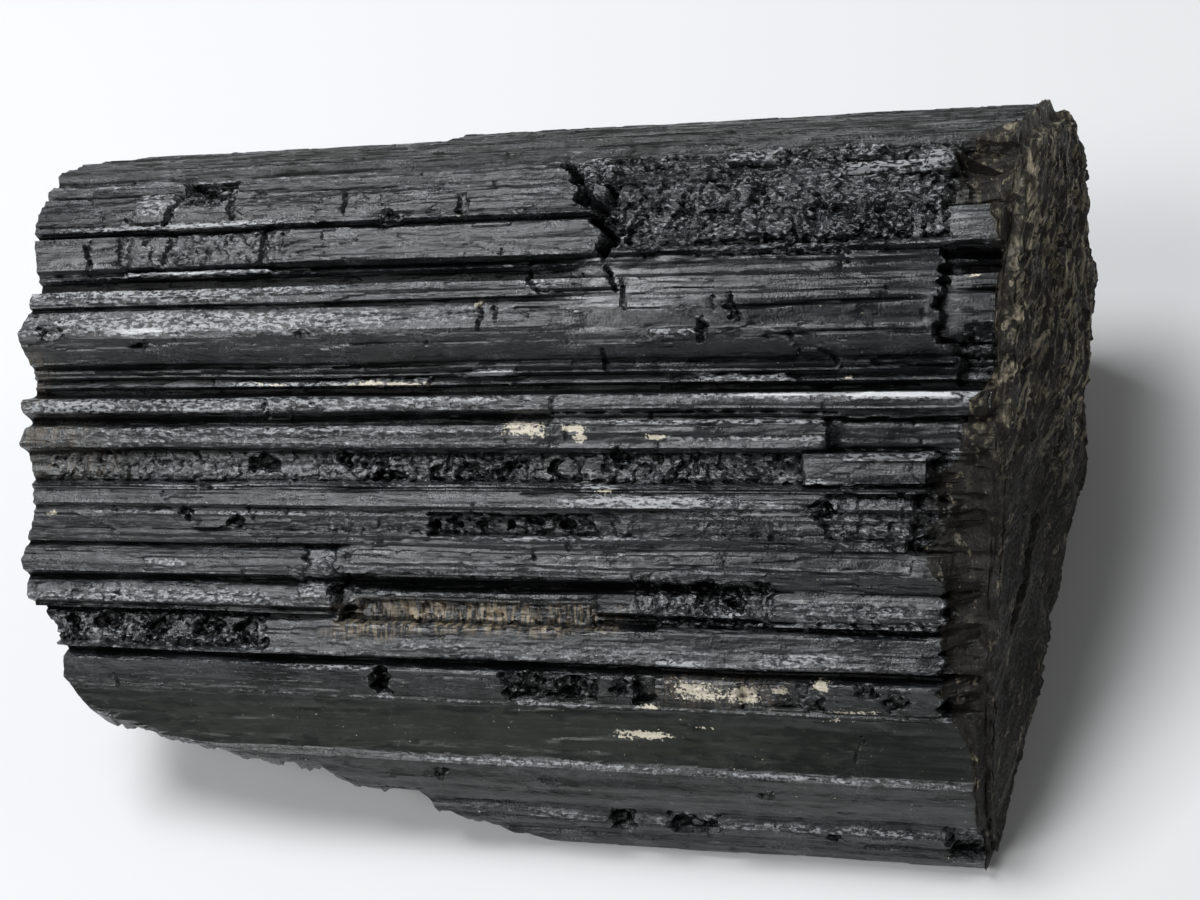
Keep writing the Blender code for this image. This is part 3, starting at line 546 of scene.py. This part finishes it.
def buildCrystal():
    x = np.arange(prism["leftEnd"], prism["rightEnd"], crystal["stationStep"])
    x = np.append(x, prism["rightEnd"])[:, None]
    lines = crystalLines()
    gridX = np.broadcast_to(x, (len(x), len(lines)))
    gridArc = np.broadcast_to(lines, gridX.shape)
    height, grainy, calm = crystalRelief(gridX, gridArc)

    # lines below the break gather on its edge
    cut = follow(prism["breakEdge"], x[:, 0])
    atCut = np.array([np.interp(cut[i], lines, height[i]) for i in range(len(cut))])
    below = gridArc < cut[:, None]
    arc = np.where(below, cut[:, None], gridArc)
    height = np.where(below, atCut[:, None], height)
    wobble = 0.10 * latticeNoise(gridX / 11.0, gridArc / 2.0, crystal["seed"] + 12)
    wobble = np.where(below, 0.0, wobble * smoothstep((gridArc - cut[:, None]) / 1.5))
    y, z = outlinePoint(arc + wobble, height)
    face = np.stack([leanEnds(gridX, arc, y, z), y, np.maximum(z, 0.15)], axis=2)

    edgeY, edgeZ = outlinePoint(cut, atCut)
    floorY = edgeY + prism["breakUndercut"] * edgeZ
    backY = prism["corners"][-1][0]
    share = np.array([0.0, 0.33, 0.67, 1.0])
    floor = backY + (floorY[:, None] - backY) * share
    floorArc = prism["backCornerArc"] + 0 * floor
    floorX = np.broadcast_to(x, floor.shape)
    floorPoints = np.stack([leanEnds(floorX, floorArc, floor, 0 * floor), floor, 0 * floor], axis=2)

    rows = crystal["fallRows"]
    share = (np.arange(rows) + 1) / (rows + 1)
    lumps = 1.3 * latticeNoise(x / 6.0, share * 3.0, 14) + 0.5 * facetField(x / 1.9, share * 7.0, 71)
    lumps = lumps + 0.22 * facetField(x / 0.7, share * 19.0, 72)
    lumps = lumps * smoothstep((3.0 - x) / 14.0) * smoothstep(share / 0.08)
    fallY = floorY[:, None] + (edgeY - floorY)[:, None] * share + 0.54 * lumps
    fallZ = np.maximum(edgeZ[:, None] * share + 0.84 * lumps, 0.12)
    fallX = np.broadcast_to(x, fallY.shape)
    fall = np.stack([leanEnds(fallX, 0 * fallY, fallY, fallZ), fallY, fallZ], axis=2)

    points = np.concatenate([face, floorPoints, fall], axis=1)
    stations, around = points.shape[:2]
    index = np.arange(stations * around).reshape(stations, around)
    after = np.roll(index, -1, axis=1)
    quads = np.stack([index[:-1], after[:-1], after[1:], index[1:]], axis=2).reshape(-1, 4)

    leftRim = points[0][:, 1:]
    inner, triangles = fillRim(leftRim, crystal["endSpacing"], 65)
    endX = brokenEnd(inner[:, 0], inner[:, 1])
    leftInner = np.column_stack([endX + leadToRim(inner, points[0]), inner])
    first = stations * around
    leftFaces = [[i if i < around else first + i - around for i in triangle] for triangle in triangles]

    vertices = np.concatenate([points.reshape(-1, 3), leftInner])
    faces = quads.tolist() + leftFaces + [index[-1].tolist()]

    noFall = np.zeros((stations, around - len(lines)))
    fields = {"grain": np.concatenate([grainy, noFall], axis=1)}
    fields["grain"][:, len(lines) + 4:] = crystal["undersideGrain"]
    fields["calm"] = np.concatenate([calm, noFall], axis=1)
    fields["ridge"] = np.concatenate([ridgeField(height), noFall + crystal["undersideRidge"]], axis=1)
    for name, rowsOf in marks.items():
        fields[name] = np.concatenate([markField(gridX, gridArc, rowsOf), noFall], axis=1)
    # on the broken end, a lower ridge value where the end is sunk gives it painted shade
    sunk = endX - prism["leftEnd"] - 0.5
    onEnd = {"grain": crystal["endGrain"], "calm": crystal["endCalm"]}
    onEnd["ridge"] = np.clip(0.50 - 0.16 * sunk, 0.2, 0.6)
    for name, field in fields.items():
        fields[name] = np.concatenate([field.ravel(), onEnd.get(name, 0.0) + np.zeros(len(leftInner))])
    return vertices, faces, fields


def ridgeField(height):
    # how far a point stands over its surroundings, from 0 to 1, at two widths
    def over(reach):
        padded = np.pad(height, ((0, 0), (reach, reach)), mode="edge")
        total = sum(padded[:, i:i + height.shape[1]] for i in range(2 * reach + 1))
        return height - total / (2 * reach + 1)

    return np.clip(0.5 + 1.3 * over(3) + 0.35 * over(12), 0.0, 1.0)


def meshObject(name, vertices, faces, fields, sharpAngle):
    data = bpy.data.meshes.new(name)
    data.from_pydata(toMetres(vertices).tolist(), [], faces)
    for field, values in fields.items():
        layer = data.attributes.new(field, "FLOAT", "POINT")
        layer.data.foreach_set("value", values.astype(np.float32))
    piece = bpy.data.objects.new(name, data)
    bpy.context.scene.collection.objects.link(piece)
    mesh = bmesh.new()
    mesh.from_mesh(data)
    bmesh.ops.remove_doubles(mesh, verts=mesh.verts, dist=2e-6)
    bmesh.ops.triangulate(mesh, faces=mesh.faces)
    bmesh.ops.recalc_face_normals(mesh, faces=mesh.faces)
    mesh.to_mesh(data)
    mesh.free()
    data.shade_smooth()
    data.set_sharp_from_angle(angle=math.radians(sharpAngle))
    return piece


def thinOut(piece, limit):
    # merges triangles where the surface is nearly flat, until the piece is within the limit
    count = len(piece.data.polygons)
    if count <= limit:
        return
    thin = piece.modifiers.new("thin", "DECIMATE")
    thin.ratio = limit / count
    made = piece.evaluated_get(bpy.context.evaluated_depsgraph_get())
    old = piece.data
    piece.data = bpy.data.meshes.new_from_object(made)
    piece.modifiers.remove(thin)
    bpy.data.meshes.remove(old)
    piece.data.name = piece.name


# Settings of the schist crust. Its plates run from front to back and rise a little.
crust = {
    "name": "mica_schist_crust_surface",
    "spacing": 0.36,
    "rimPoints": 640,
    "inset": 0.985,
    "shoulder": 0.96,
    "middleThickness": 3.2,
    "leastThickness": 0.4,
    "pitch": 7.5,
    "step": 2.0,
    "rise": (0.97, 0.24),
    "sharpAngle": 32.0,
    # how far the rim stands out of the slanted end: arc position, height
    "rim": [
        (-2, 0.5), (16, 0.8), (38, 1.2), (57, 1.4), (69.9, 1.8), (90, 1.8), (96, 2.9),
        (103, 2.1), (109, 2.8), (114, 3), (119.5, 1.7), (125, 1.7), (132, 3.4),
        (139, 2.6), (143.5, 2.4), (149, 1.1), (156, 0.7), (166, 0.7), (178.5, 0.5),
    ],
    # how far it laps over the ends of the columns: arc position, length
    "lap": [
        (-2, 0.1), (11, 0.5), (14.5, 1.2), (17, 2.6), (24, 2.9), (27.5, 2.2), (30.5, 4.6),
        (33, 3.6), (36.5, 4.2), (38.5, 1.8), (44, 1), (46, 0.2), (57, 0.3), (60, 0.9),
        (62.5, 2.6), (66, 4.4), (69, 3), (71, 0.4), (95, 0.6), (110, 1.5), (122, 0.8),
        (129, 0.1), (180, 0.1),
    ],
    # ends and edges of the thin plates: height, length, width, seed
    "facets": [(0.45, 4.5, 0.8, 26), (0.18, 1.3, 0.45, 27)],
    # the lap's rings: share of its length, height over the column below it
    "lapRings": [(1.0, -0.45), (1.0, 0.10), (0.75, 0.32), (0.45, 0.22), (0.15, 0.35)],
    # open cracks in the outer face: half width, depth, then points as Y and Z
    "cracks": [
        (0.45, 1.6, (9, 22.5), (14, 24), (20, 24.8)), (0.3, 1.1, (-2, 20), (6, 22.2)),
        (0.3, 1, (6, 33), (14, 34.6), (24, 36)), (0.3, 0.9, (-12, 11), (4, 14)),
        (0.35, 1.2, (12, 12), (26, 17)), (0.25, 0.8, (-20, 18), (-10, 21)),
    ],
}


def schistFace(y, z, rimHeight, share):
    # X of the outer face, and how far each point stands out of its plate, from 0 to 1
    along = y * crust["rise"][0] + z * crust["rise"][1]
    across = y * crust["rise"][1] - z * crust["rise"][0]
    bend = 0.4 * latticeNoise(y / 14.0, z / 14.0, 21)
    plate = (across / crust["pitch"] + bend) % 1.0
    drift = 2.2 * bend + 0.35 * latticeNoise(along / 6.0, across / 3.0, 25)
    thin = (across / 1.9 + drift) % 1.0
    inward = 1 - share ** 2
    coarse = 0.35 + 0.65 * paleShare(y, z)
    height = rimHeight * (1 - inward) + crust["middleThickness"] * inward
    height = height + inward ** 0.5 * crust["step"] * (plate - 0.5)
    height = height + inward ** 0.5 * 0.7 * latticeNoise(y / 4.0, z / 4.0, 22)
    height = height + 0.75 * inward ** 0.5 * (thin - 0.5)
    for strength, length, width, seed in crust["facets"]:
        height = height + strength * coarse * facetField(along / length, across / width, seed)
    for halfWidth, depth, *points in crust["cracks"]:
        height = height - depth * crackWeight(y, z + 0.8 * bend, halfWidth, points)
    raised = np.clip(0.5 * plate + 0.5 * thin, 0.0, 1.0)
    return rightEnd(y, z) + prism["contactGap"] + np.maximum(height, crust["leastThickness"]), raised


def paleShare(y, z):
    # the crust is pale brown at the upper back and nearly black at the lower front
    lift = 0.79 * y + 0.62 * z + 5.0 * latticeNoise(y / 9.0, z / 9.0, 33)
    return smoothstep((lift - 4.0) / 16.0)


def buildCrust():
    count = crust["rimPoints"]
    arc = prism["firstArc"] + 1.2 + (outline["length"] - 2.4) * np.arange(count) / (count - 1)
    ragged = 0.4 * latticeNoise(arc / 5.0, 0 * arc, 24) + 0.25 * latticeNoise(arc / 0.9, 0 * arc, 28)
    y, z = outlinePoint(arc, ragged - 0.2)
    middle = np.array([np.mean(y), np.mean(z)])

    def drawnIn(share):
        drawnZ = middle[1] + (z - middle[1]) * share
        return middle[0] + (y - middle[0]) * share, np.maximum(drawnZ, 0.3)

    edgeY, edgeZ = drawnIn(crust["shoulder"])
    bearing = np.arctan2(edgeZ - middle[1], edgeY - middle[0])
    order = np.argsort(bearing)
    rimReach = np.hypot(edgeY - middle[0], edgeZ - middle[1])
    height = follow(crust["rim"], arc)

    def outer(atY, atZ):
        turn = np.arctan2(atZ - middle[1], atY - middle[0])
        reach = np.interp(turn, bearing[order], rimReach[order], period=2 * math.pi)
        rimHeight = np.interp(turn, bearing[order], height[order], period=2 * math.pi)
        share = np.minimum(np.hypot(atY - middle[0], atZ - middle[1]) / reach, 1.0)
        return schistFace(atY, atZ, rimHeight, share)

    # the hidden contact face, then the lap over the ends of the columns
    innerY, innerZ = drawnIn(0.93)
    rings = [np.stack([rightEnd(innerY, innerZ) + prism["contactGap"], innerY, innerZ], axis=1)]
    raisedRings = [np.full(count, 0.2)]
    lap = follow(crust["lap"], arc) * (1 + 0.45 * latticeNoise(arc / 1.3, 0 * arc, 34))
    lap = lap + 0.25 * (1 + latticeNoise(arc / 0.45, 0 * arc, 35)) * smoothstep(lap)
    for number, (share, lift) in enumerate(crust["lapRings"]):
        relief = crystalRelief(prism["rightEnd"] - lap * share, arc)[0]
        lumpy = 0.18 * latticeNoise(arc / 0.7, share * 3.0 + 0 * arc, 36) * (number > 0)
        lapY, lapZ = outlinePoint(arc, relief + lift + lumpy)
        lapZ = np.maximum(lapZ, 0.2)
        lapX = rightEnd(lapY, lapZ) - lap * share
        rings.append(np.stack([lapX, lapY, lapZ], axis=1))
        raisedRings.append(0.35 + 0.3 * latticeNoise(arc / 0.9, share * 4.0 + 0 * arc, 37))

    outerX, raised = outer(edgeY, edgeZ)
    contactY, contactZ = drawnIn(crust["inset"])
    contactX = rightEnd(contactY, contactZ) + prism["contactGap"]
    for level in (0.0, 0.12, 0.28, 0.45, 0.62, 0.8, 0.92, 1.0):
        shrink = crust["inset"] + (crust["shoulder"] - crust["inset"]) * level ** 3
        ringY, ringZ = drawnIn(shrink)
        layers = 0.010 * np.sin(level * 40.0 + 2.0 * latticeNoise(arc / 6.0, 0 * arc, 38))
        layers = layers + 0.008 * facetField(arc / 1.5, level * 6.0 + 0 * arc, 29)
        layers = layers * (0.0 < level < 1.0)
        ringY = ringY + (ringY - middle[0]) * layers
        ringZ = np.maximum(ringZ + (ringZ - middle[1]) * layers, 0.3)
        rings.append(np.stack([contactX + (outerX - contactX) * level, ringY, ringZ], axis=1))
        raisedRings.append(0.3 + 0.4 * raised * level)
    vertices = np.concatenate(rings)
    index = np.arange(len(vertices)).reshape(len(rings), count)
    after = np.roll(index, -1, axis=1)
    quads = np.stack([index[:-1], after[:-1], after[1:], index[1:]], axis=2).reshape(-1, 4)
    inner, triangles = fillRim(rings[-1][:, 1:], crust["spacing"], 31)
    innerX, innerRaised = outer(inner[:, 0], inner[:, 1])
    last = (len(rings) - 1) * count
    outerFaces = [[last + i if i < count else len(vertices) + i - count for i in t] for t in triangles]
    vertices = np.concatenate([vertices, np.column_stack([innerX, inner])])
    faces = quads.tolist() + outerFaces + [index[0].tolist()]
    pale = paleShare(vertices[:, 1], vertices[:, 2])
    return vertices, faces, {"raised": np.concatenate(raisedRings + [innerRaised]), "pale": pale}


class NodeTree:
    # small helpers that keep the material recipes short
    def __init__(self, name):
        self.material = bpy.data.materials.new(name)
        self.material.use_nodes = True
        self.nodes = self.material.node_tree.nodes
        self.links = self.material.node_tree.links
        self.shader = self.nodes["Principled BSDF"]
        self.place = self.nodes.new("ShaderNodeTexCoord").outputs["Object"]

    def feed(self, socket, value):
        if isinstance(value, bpy.types.NodeSocket):
            self.links.new(value, socket)
        else:
            socket.default_value = value

    def noise(self, perMillimetre, detail=2.0, roughness=0.55, distortion=0.0):
        # noise with this many lumps for each millimetre along X, Y and Z
        mapping = self.nodes.new("ShaderNodeMapping")
        mapping.inputs["Scale"].default_value = [1000.0 * n for n in perMillimetre]
        self.links.new(self.place, mapping.inputs["Vector"])
        node = self.nodes.new("ShaderNodeTexNoise")
        node.inputs["Scale"].default_value = 1.0
        node.inputs["Detail"].default_value = detail
        node.inputs["Roughness"].default_value = roughness
        node.inputs["Distortion"].default_value = distortion
        self.links.new(mapping.outputs["Vector"], node.inputs["Vector"])
        return node.outputs["Fac"]

    def field(self, name):
        node = self.nodes.new("ShaderNodeAttribute")
        node.attribute_name = name
        return node.outputs["Fac"]

    def math(self, operation, first, second, clamp=False):
        node = self.nodes.new("ShaderNodeMath")
        node.operation = operation
        node.use_clamp = clamp
        self.feed(node.inputs[0], first)
        self.feed(node.inputs[1], second)
        return node.outputs[0]

    def times(self, first, second):
        return self.math("MULTIPLY", first, second)

    def plus(self, first, second, clamp=False):
        return self.math("ADD", first, second, clamp)

    def spread(self, value, low, high, toLow=0.0, toHigh=1.0):
        node = self.nodes.new("ShaderNodeMapRange")
        node.interpolation_type = "SMOOTHSTEP"
        self.feed(node.inputs["Value"], value)
        node.inputs["From Min"].default_value = low
        node.inputs["From Max"].default_value = high
        node.inputs["To Min"].default_value = toLow
        node.inputs["To Max"].default_value = toHigh
        return node.outputs["Result"]

    def mix(self, share, first, second):
        node = self.nodes.new("ShaderNodeMix")
        node.data_type = "RGBA"
        self.feed(node.inputs["Factor"], share)
        self.feed(node.inputs[6], first)
        self.feed(node.inputs[7], second)
        return node.outputs[2]

    def bump(self, height, distance, strength=1.0, under=None):
        node = self.nodes.new("ShaderNodeBump")
        node.inputs["Strength"].default_value = strength
        node.inputs["Distance"].default_value = distance * mm
        self.links.new(height, node.inputs["Height"])
        if under is not None:
            self.links.new(under, node.inputs["Normal"])
        return node.outputs["Normal"]


tourmaline = {
    "black": (0.0046, 0.0052, 0.0060, 1.0),
    "grey": (0.019, 0.021, 0.023, 1.0),
    "olive": (0.0130, 0.0155, 0.0120, 1.0),
    "paleOlive": (0.030, 0.033, 0.028, 1.0),
    # pale bluish grey of real dust and of painted sheen
    "dustAndSheen": (0.080, 0.086, 0.090, 1.0),
    # pale grey of real worn edges and of painted highlights
    "wornAndHighlightGrey": (0.33, 0.34, 0.35, 1.0),
    # near white of painted highlights
    "paintedHighlight": (0.62, 0.63, 0.64, 1.0),
    "cream": (0.66, 0.60, 0.48, 1.0),
    "rust": (0.33, 0.26, 0.17, 1.0),
    "darkSchist": (0.009, 0.0078, 0.0060, 1.0),
    "refraction": 1.63,
}


def tourmalineMaterial():
    tree = NodeTree("black tourmaline")
    hair = tree.noise((0.14, 5.0, 5.0), detail=2.0)       # hair-fine striae
    streak = tree.noise((0.11, 2.2, 2.2), detail=3.0)     # streaks about 0.5 mm wide
    cloud = tree.noise((0.14, 0.16, 0.16), detail=3.0)    # patches some millimetres across
    speckle = tree.noise((4.2, 4.2, 4.2), detail=3.0, roughness=0.65)
    tick = tree.noise((1.5, 3.4, 3.4), detail=2.0)        # short ticks along the flutes
    hatch = tree.noise((3.2, 0.6, 0.6), detail=1.0)       # lines across the rusty strip
    swell = tree.noise((0.30, 0.9, 0.9), detail=2.0)      # uneven faces some millimetres long
    dustAndSheenNoise = tree.noise((0.22, 0.30, 0.30), detail=3.0, roughness=0.6)

    grain = tree.spread(tree.field("grain"), 0.03, 0.30)
    ridge = tree.field("ridge")
    calm = tree.field("calm")
    olive = tree.field("olive")
    # painted highlights: lit lines, glints and lighter patches from the marks turn pale grey, together
    # with real wear on edges that stand out
    wearAndHighlight = tree.plus(tree.field("wearAndHighlight"), tree.spread(ridge, 0.70, 0.92, 0.0, 0.32))
    wearAndHighlight = tree.times(wearAndHighlight, tree.spread(tick, 0.40, 0.60, 0.10, 1.35))
    wearAndHighlight = tree.times(wearAndHighlight, tree.spread(speckle, 0.32, 0.60, 0.55, 1.1))
    # painted glints: small cells on the grainy zones are painted pale grey
    glint = tree.times(grain, tree.spread(tick, 0.57, 0.65))
    wearAndHighlight = tree.math("MAXIMUM", tree.spread(wearAndHighlight, 0.18, 0.85), tree.times(glint, 0.65))

    patchy = tree.spread(cloud, 0.32, 0.68, 0.1, 1.0)
    greyShare = tree.times(tree.spread(streak, 0.35, 0.68), patchy)
    greyShare = tree.times(greyShare, tree.spread(speckle, 0.30, 0.62, 0.3, 1.2))
    # a pale bluish grey film, partly real dust and partly painted sheen, weaker on the calm faces
    dustAndSheen = tree.times(tree.spread(dustAndSheenNoise, 0.48, 0.66), tree.spread(speckle, 0.40, 0.66))
    dustAndSheen = tree.times(dustAndSheen, tree.spread(calm, 0.0, 1.0, 1.0, 0.15))
    colour = tree.mix(greyShare, tourmaline["black"], tourmaline["grey"])
    colour = tree.mix(tree.times(olive, 0.8), colour, tourmaline["olive"])
    colour = tree.mix(tree.spread(olive, 0.82, 1.0, 0.0, 0.7), colour, tourmaline["paleOlive"])
    colour = tree.mix(dustAndSheen, colour, tourmaline["dustAndSheen"])
    colour = tree.mix(wearAndHighlight, colour, tourmaline["wornAndHighlightGrey"])
    # painted highlight: where the marks are strongest the surface is painted near white
    paintedHighlight = tree.plus(tree.field("wearAndHighlight"), tree.times(speckle, 0.5))
    paintedHighlight = tree.spread(paintedHighlight, 1.15, 1.45)
    colour = tree.mix(paintedHighlight, colour, tourmaline["paintedHighlight"])
    stain = tree.times(tree.field("stain"), tree.spread(hatch, 0.42, 0.60, 0.03, 0.9))
    colour = tree.mix(stain, colour, tourmaline["rust"])
    schistShare = tree.plus(tree.field("schist"), tree.times(speckle, 0.6))
    schistShare = tree.spread(schistShare, 0.55, 0.85)
    colour = tree.mix(schistShare, colour, tourmaline["darkSchist"])
    fleckEdge = tree.plus(tree.field("fleck"), tree.times(tick, 1.0))
    fleckEdge = tree.plus(fleckEdge, tree.times(speckle, 1.6))
    fleck = tree.spread(fleckEdge, 1.70, 1.82)
    colour = tree.mix(fleck, colour, tourmaline["cream"])
    # painted shade: where the ridge field is low, in hollows, the colour turns near black and the shine
    # is cut as well
    outOfPaintedShade = tree.spread(ridge, 0.10, 0.44, 0.15, 1.0)
    colour = tree.mix(outOfPaintedShade, (0.0015, 0.0015, 0.0015, 1.0), colour)
    tree.links.new(colour, tree.shader.inputs["Base Color"])
    gloss = tree.times(outOfPaintedShade, tree.spread(olive, 0.0, 1.0, 0.5, 0.30))
    gloss = tree.times(gloss, tree.spread(tree.field("dull"), 0.0, 1.0, 1.0, 0.45))
    tree.links.new(gloss, tree.shader.inputs["Specular IOR Level"])

    rough = tree.spread(cloud, 0.30, 0.70, 0.15, 0.30)
    rough = tree.plus(rough, tree.spread(streak, 0.30, 0.75, -0.04, 0.12))
    rough = tree.plus(rough, tree.times(tree.field("schist"), 0.35))
    rough = tree.plus(rough, tree.times(olive, 0.10))
    rough = tree.plus(rough, tree.times(fleck, 0.30), clamp=True)
    tree.links.new(rough, tree.shader.inputs["Roughness"])
    tree.shader.inputs["IOR"].default_value = tourmaline["refraction"]

    lively = tree.spread(calm, 0.0, 1.0, 1.0, 0.22)
    striae = tree.bump(tree.times(swell, lively), 0.35)
    striae = tree.bump(tree.times(hair, lively), 0.045, under=striae)
    striae = tree.bump(tree.times(streak, lively), 0.080, under=striae)
    grained = tree.times(speckle, tree.plus(tree.times(lively, 0.7), 0.1))
    tree.links.new(tree.bump(grained, 0.11, under=striae), tree.shader.inputs["Normal"])
    return tree.material


schist = {
    "dark": (0.006, 0.005, 0.0038, 1.0),
    "brown": (0.023, 0.019, 0.013, 1.0),
    "tan": (0.36, 0.315, 0.225, 1.0),
    "silver": (0.30, 0.27, 0.21, 1.0),
}


def schistMaterial():
    tree = NodeTree("mica schist")
    layer = tree.noise((0.9, 0.12, 0.80), detail=4.0, distortion=0.5)    # long plates
    fibre = tree.noise((1.3, 0.13, 2.1), detail=4.0, roughness=0.65, distortion=0.6)
    speckle = tree.noise((4.5, 3.0, 4.5), detail=3.0, roughness=0.6)
    pale = tree.field("pale")
    raised = tree.field("raised")
    brownShare = tree.spread(layer, 0.34, 0.66)
    brownShare = tree.times(brownShare, tree.spread(pale, 0.0, 1.0, 0.15, 1.0))
    colour = tree.mix(brownShare, schist["dark"], schist["brown"])
    tanShare = tree.times(tree.spread(fibre, 0.48, 0.66), tree.spread(raised, 0.15, 0.75))
    tanShare = tree.times(tanShare, tree.spread(pale, 0.0, 1.0, 0.10, 1.0))
    colour = tree.mix(tanShare, colour, schist["tan"])
    flake = tree.noise((1.1, 0.30, 0.85), detail=3.0, distortion=0.4)    # single flakes, 1 to 4 mm long
    flakeShare = tree.times(tree.spread(flake, 0.61, 0.67), tree.spread(speckle, 0.35, 0.60))
    flakeShare = tree.times(flakeShare, tree.spread(pale, 0.0, 1.0, 0.35, 0.7))
    colour = tree.mix(flakeShare, colour, schist["tan"])
    fleck = tree.times(tree.spread(speckle, 0.62, 0.72), tree.spread(fibre, 0.46, 0.62))
    fleck = tree.times(fleck, tree.spread(pale, 0.0, 1.0, 0.3, 1.0))
    colour = tree.mix(fleck, colour, schist["silver"])
    tree.links.new(colour, tree.shader.inputs["Base Color"])
    tree.links.new(tree.spread(speckle, 0.35, 0.70, 0.80, 0.50), tree.shader.inputs["Roughness"])
    tree.shader.inputs["Specular IOR Level"].default_value = 0.3
    under = tree.bump(fibre, 0.16, 1.0)
    tree.links.new(tree.bump(speckle, 0.08, 1.0, under=under), tree.shader.inputs["Normal"])
    return tree.material


def plainMaterial(name, colour, roughness):
    material = bpy.data.materials.new(name)
    material.use_nodes = True
    shader = material.node_tree.nodes["Principled BSDF"]
    shader.inputs["Base Color"].default_value = (*colour, 1.0)
    shader.inputs["Roughness"].default_value = roughness
    return material


vertices, faces, fields = buildCrystal()
crystalPiece = meshObject(crystal["name"], vertices, faces, fields, crystal["sharpAngle"])
fullCount = len(crystalPiece.data.polygons)
thinOut(crystalPiece, crystal["triangleLimit"])
crystalPiece.data.set_sharp_from_angle(angle=math.radians(crystal["sharpAngle"]))
crystalPiece.data.materials.append(tourmalineMaterial())
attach(crystalPiece, "root")
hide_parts("tourmaline_crystal")
print("crystal:", fullCount, "triangles, thinned to", len(crystalPiece.data.polygons))

vertices, faces, fields = buildCrust()
crustPiece = meshObject(crust["name"], vertices, faces, fields, crust["sharpAngle"])
crustPiece.data.materials.append(schistMaterial())
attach(crustPiece, "root")
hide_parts("mica_schist_crust")
print("crust:", len(crustPiece.data.polygons), "triangles")

# The camera looks down at the fluted front, from a little to the right, rolled with the crystal.
camera = {
    "target": (9.0, -10.4, 31.4),
    "distance": 150.0,
    "turn": 15.6,
    "elevation": 52.0,
    "lens": 50.0,
    "sensor": 36.0,
    "nearest": 0.005,
    "farthest": 20.0,
}


def addCamera():
    turn, rise = math.radians(camera["turn"]), math.radians(camera["elevation"])
    right = Vector((math.cos(turn), math.sin(turn) * math.cos(rise), -math.sin(turn) * math.sin(rise)))
    up = Vector((0.0, math.sin(rise), math.cos(rise)))
    back = right.cross(up)
    data = bpy.data.cameras.new("camera")
    data.lens = camera["lens"]
    data.sensor_width = camera["sensor"]
    data.clip_start = camera["nearest"]
    data.clip_end = camera["farthest"]
    viewer = bpy.data.objects.new("camera", data)
    turned = Matrix((right, up, back)).transposed().to_4x4()
    place = Vector(toMetres(camera["target"])) + back * camera["distance"] * mm
    viewer.matrix_world = Matrix.Translation(place) @ turned
    bpy.context.scene.collection.objects.link(viewer)
    bpy.context.scene.camera = viewer


# Softboxes: azimuth (0 in front, 90 to the right), elevation, distance, width, height, power
# and colour.
lights = {
    "key": (-125.0, 68.0, 0.65, 0.30, 0.26, 3.4, (0.95, 0.975, 1.0)),
    "left": (-45.0, 50.0, 0.75, 0.36, 0.30, 2.3, (0.98, 0.99, 1.0)),
    "right": (115.0, 35.0, 0.90, 0.40, 0.40, 0.45, (1.0, 0.98, 0.95)),
}

studio = {
    "air": (0.86, 0.88, 0.90, 1.0),
    "airStrength": 0.13,
    "paper": (0.80, 0.80, 0.80),
    "paperRoughness": 0.9,
    "paperReach": 3.0,
}


def addLights():
    for name, (azimuth, elevation, distance, width, height, power, colour) in lights.items():
        turn, rise = math.radians(azimuth), math.radians(elevation)
        back = Vector((math.sin(turn) * math.cos(rise), -math.cos(turn) * math.cos(rise), math.sin(rise)))
        data = bpy.data.lights.new(name, "AREA")
        data.shape = "RECTANGLE"
        data.size = width
        data.size_y = height
        data.energy = power
        data.color = colour
        lamp = bpy.data.objects.new(name, data)
        lamp.location = back * distance
        lamp.rotation_euler = (-back).to_track_quat("-Z", "Y").to_euler()
        bpy.context.scene.collection.objects.link(lamp)
    world = bpy.data.worlds.new("studio")
    world.use_nodes = True
    background = world.node_tree.nodes["Background"]
    background.inputs["Color"].default_value = studio["air"]
    background.inputs["Strength"].default_value = studio["airStrength"]
    bpy.context.scene.world = world


def addFloor():
    mesh = bmesh.new()
    bmesh.ops.create_grid(mesh, x_segments=1, y_segments=1, size=studio["paperReach"])
    data = bpy.data.meshes.new("floor")
    mesh.to_mesh(data)
    mesh.free()
    data.materials.append(plainMaterial("pale paper", studio["paper"], studio["paperRoughness"]))
    floor = bpy.data.objects.new("floor", data)
    bpy.context.scene.collection.objects.link(floor)


addCamera()
addLights()
addFloor()
bpy.context.scene.view_settings.view_transform = "Standard"
print("camera, lights and floor are in place")
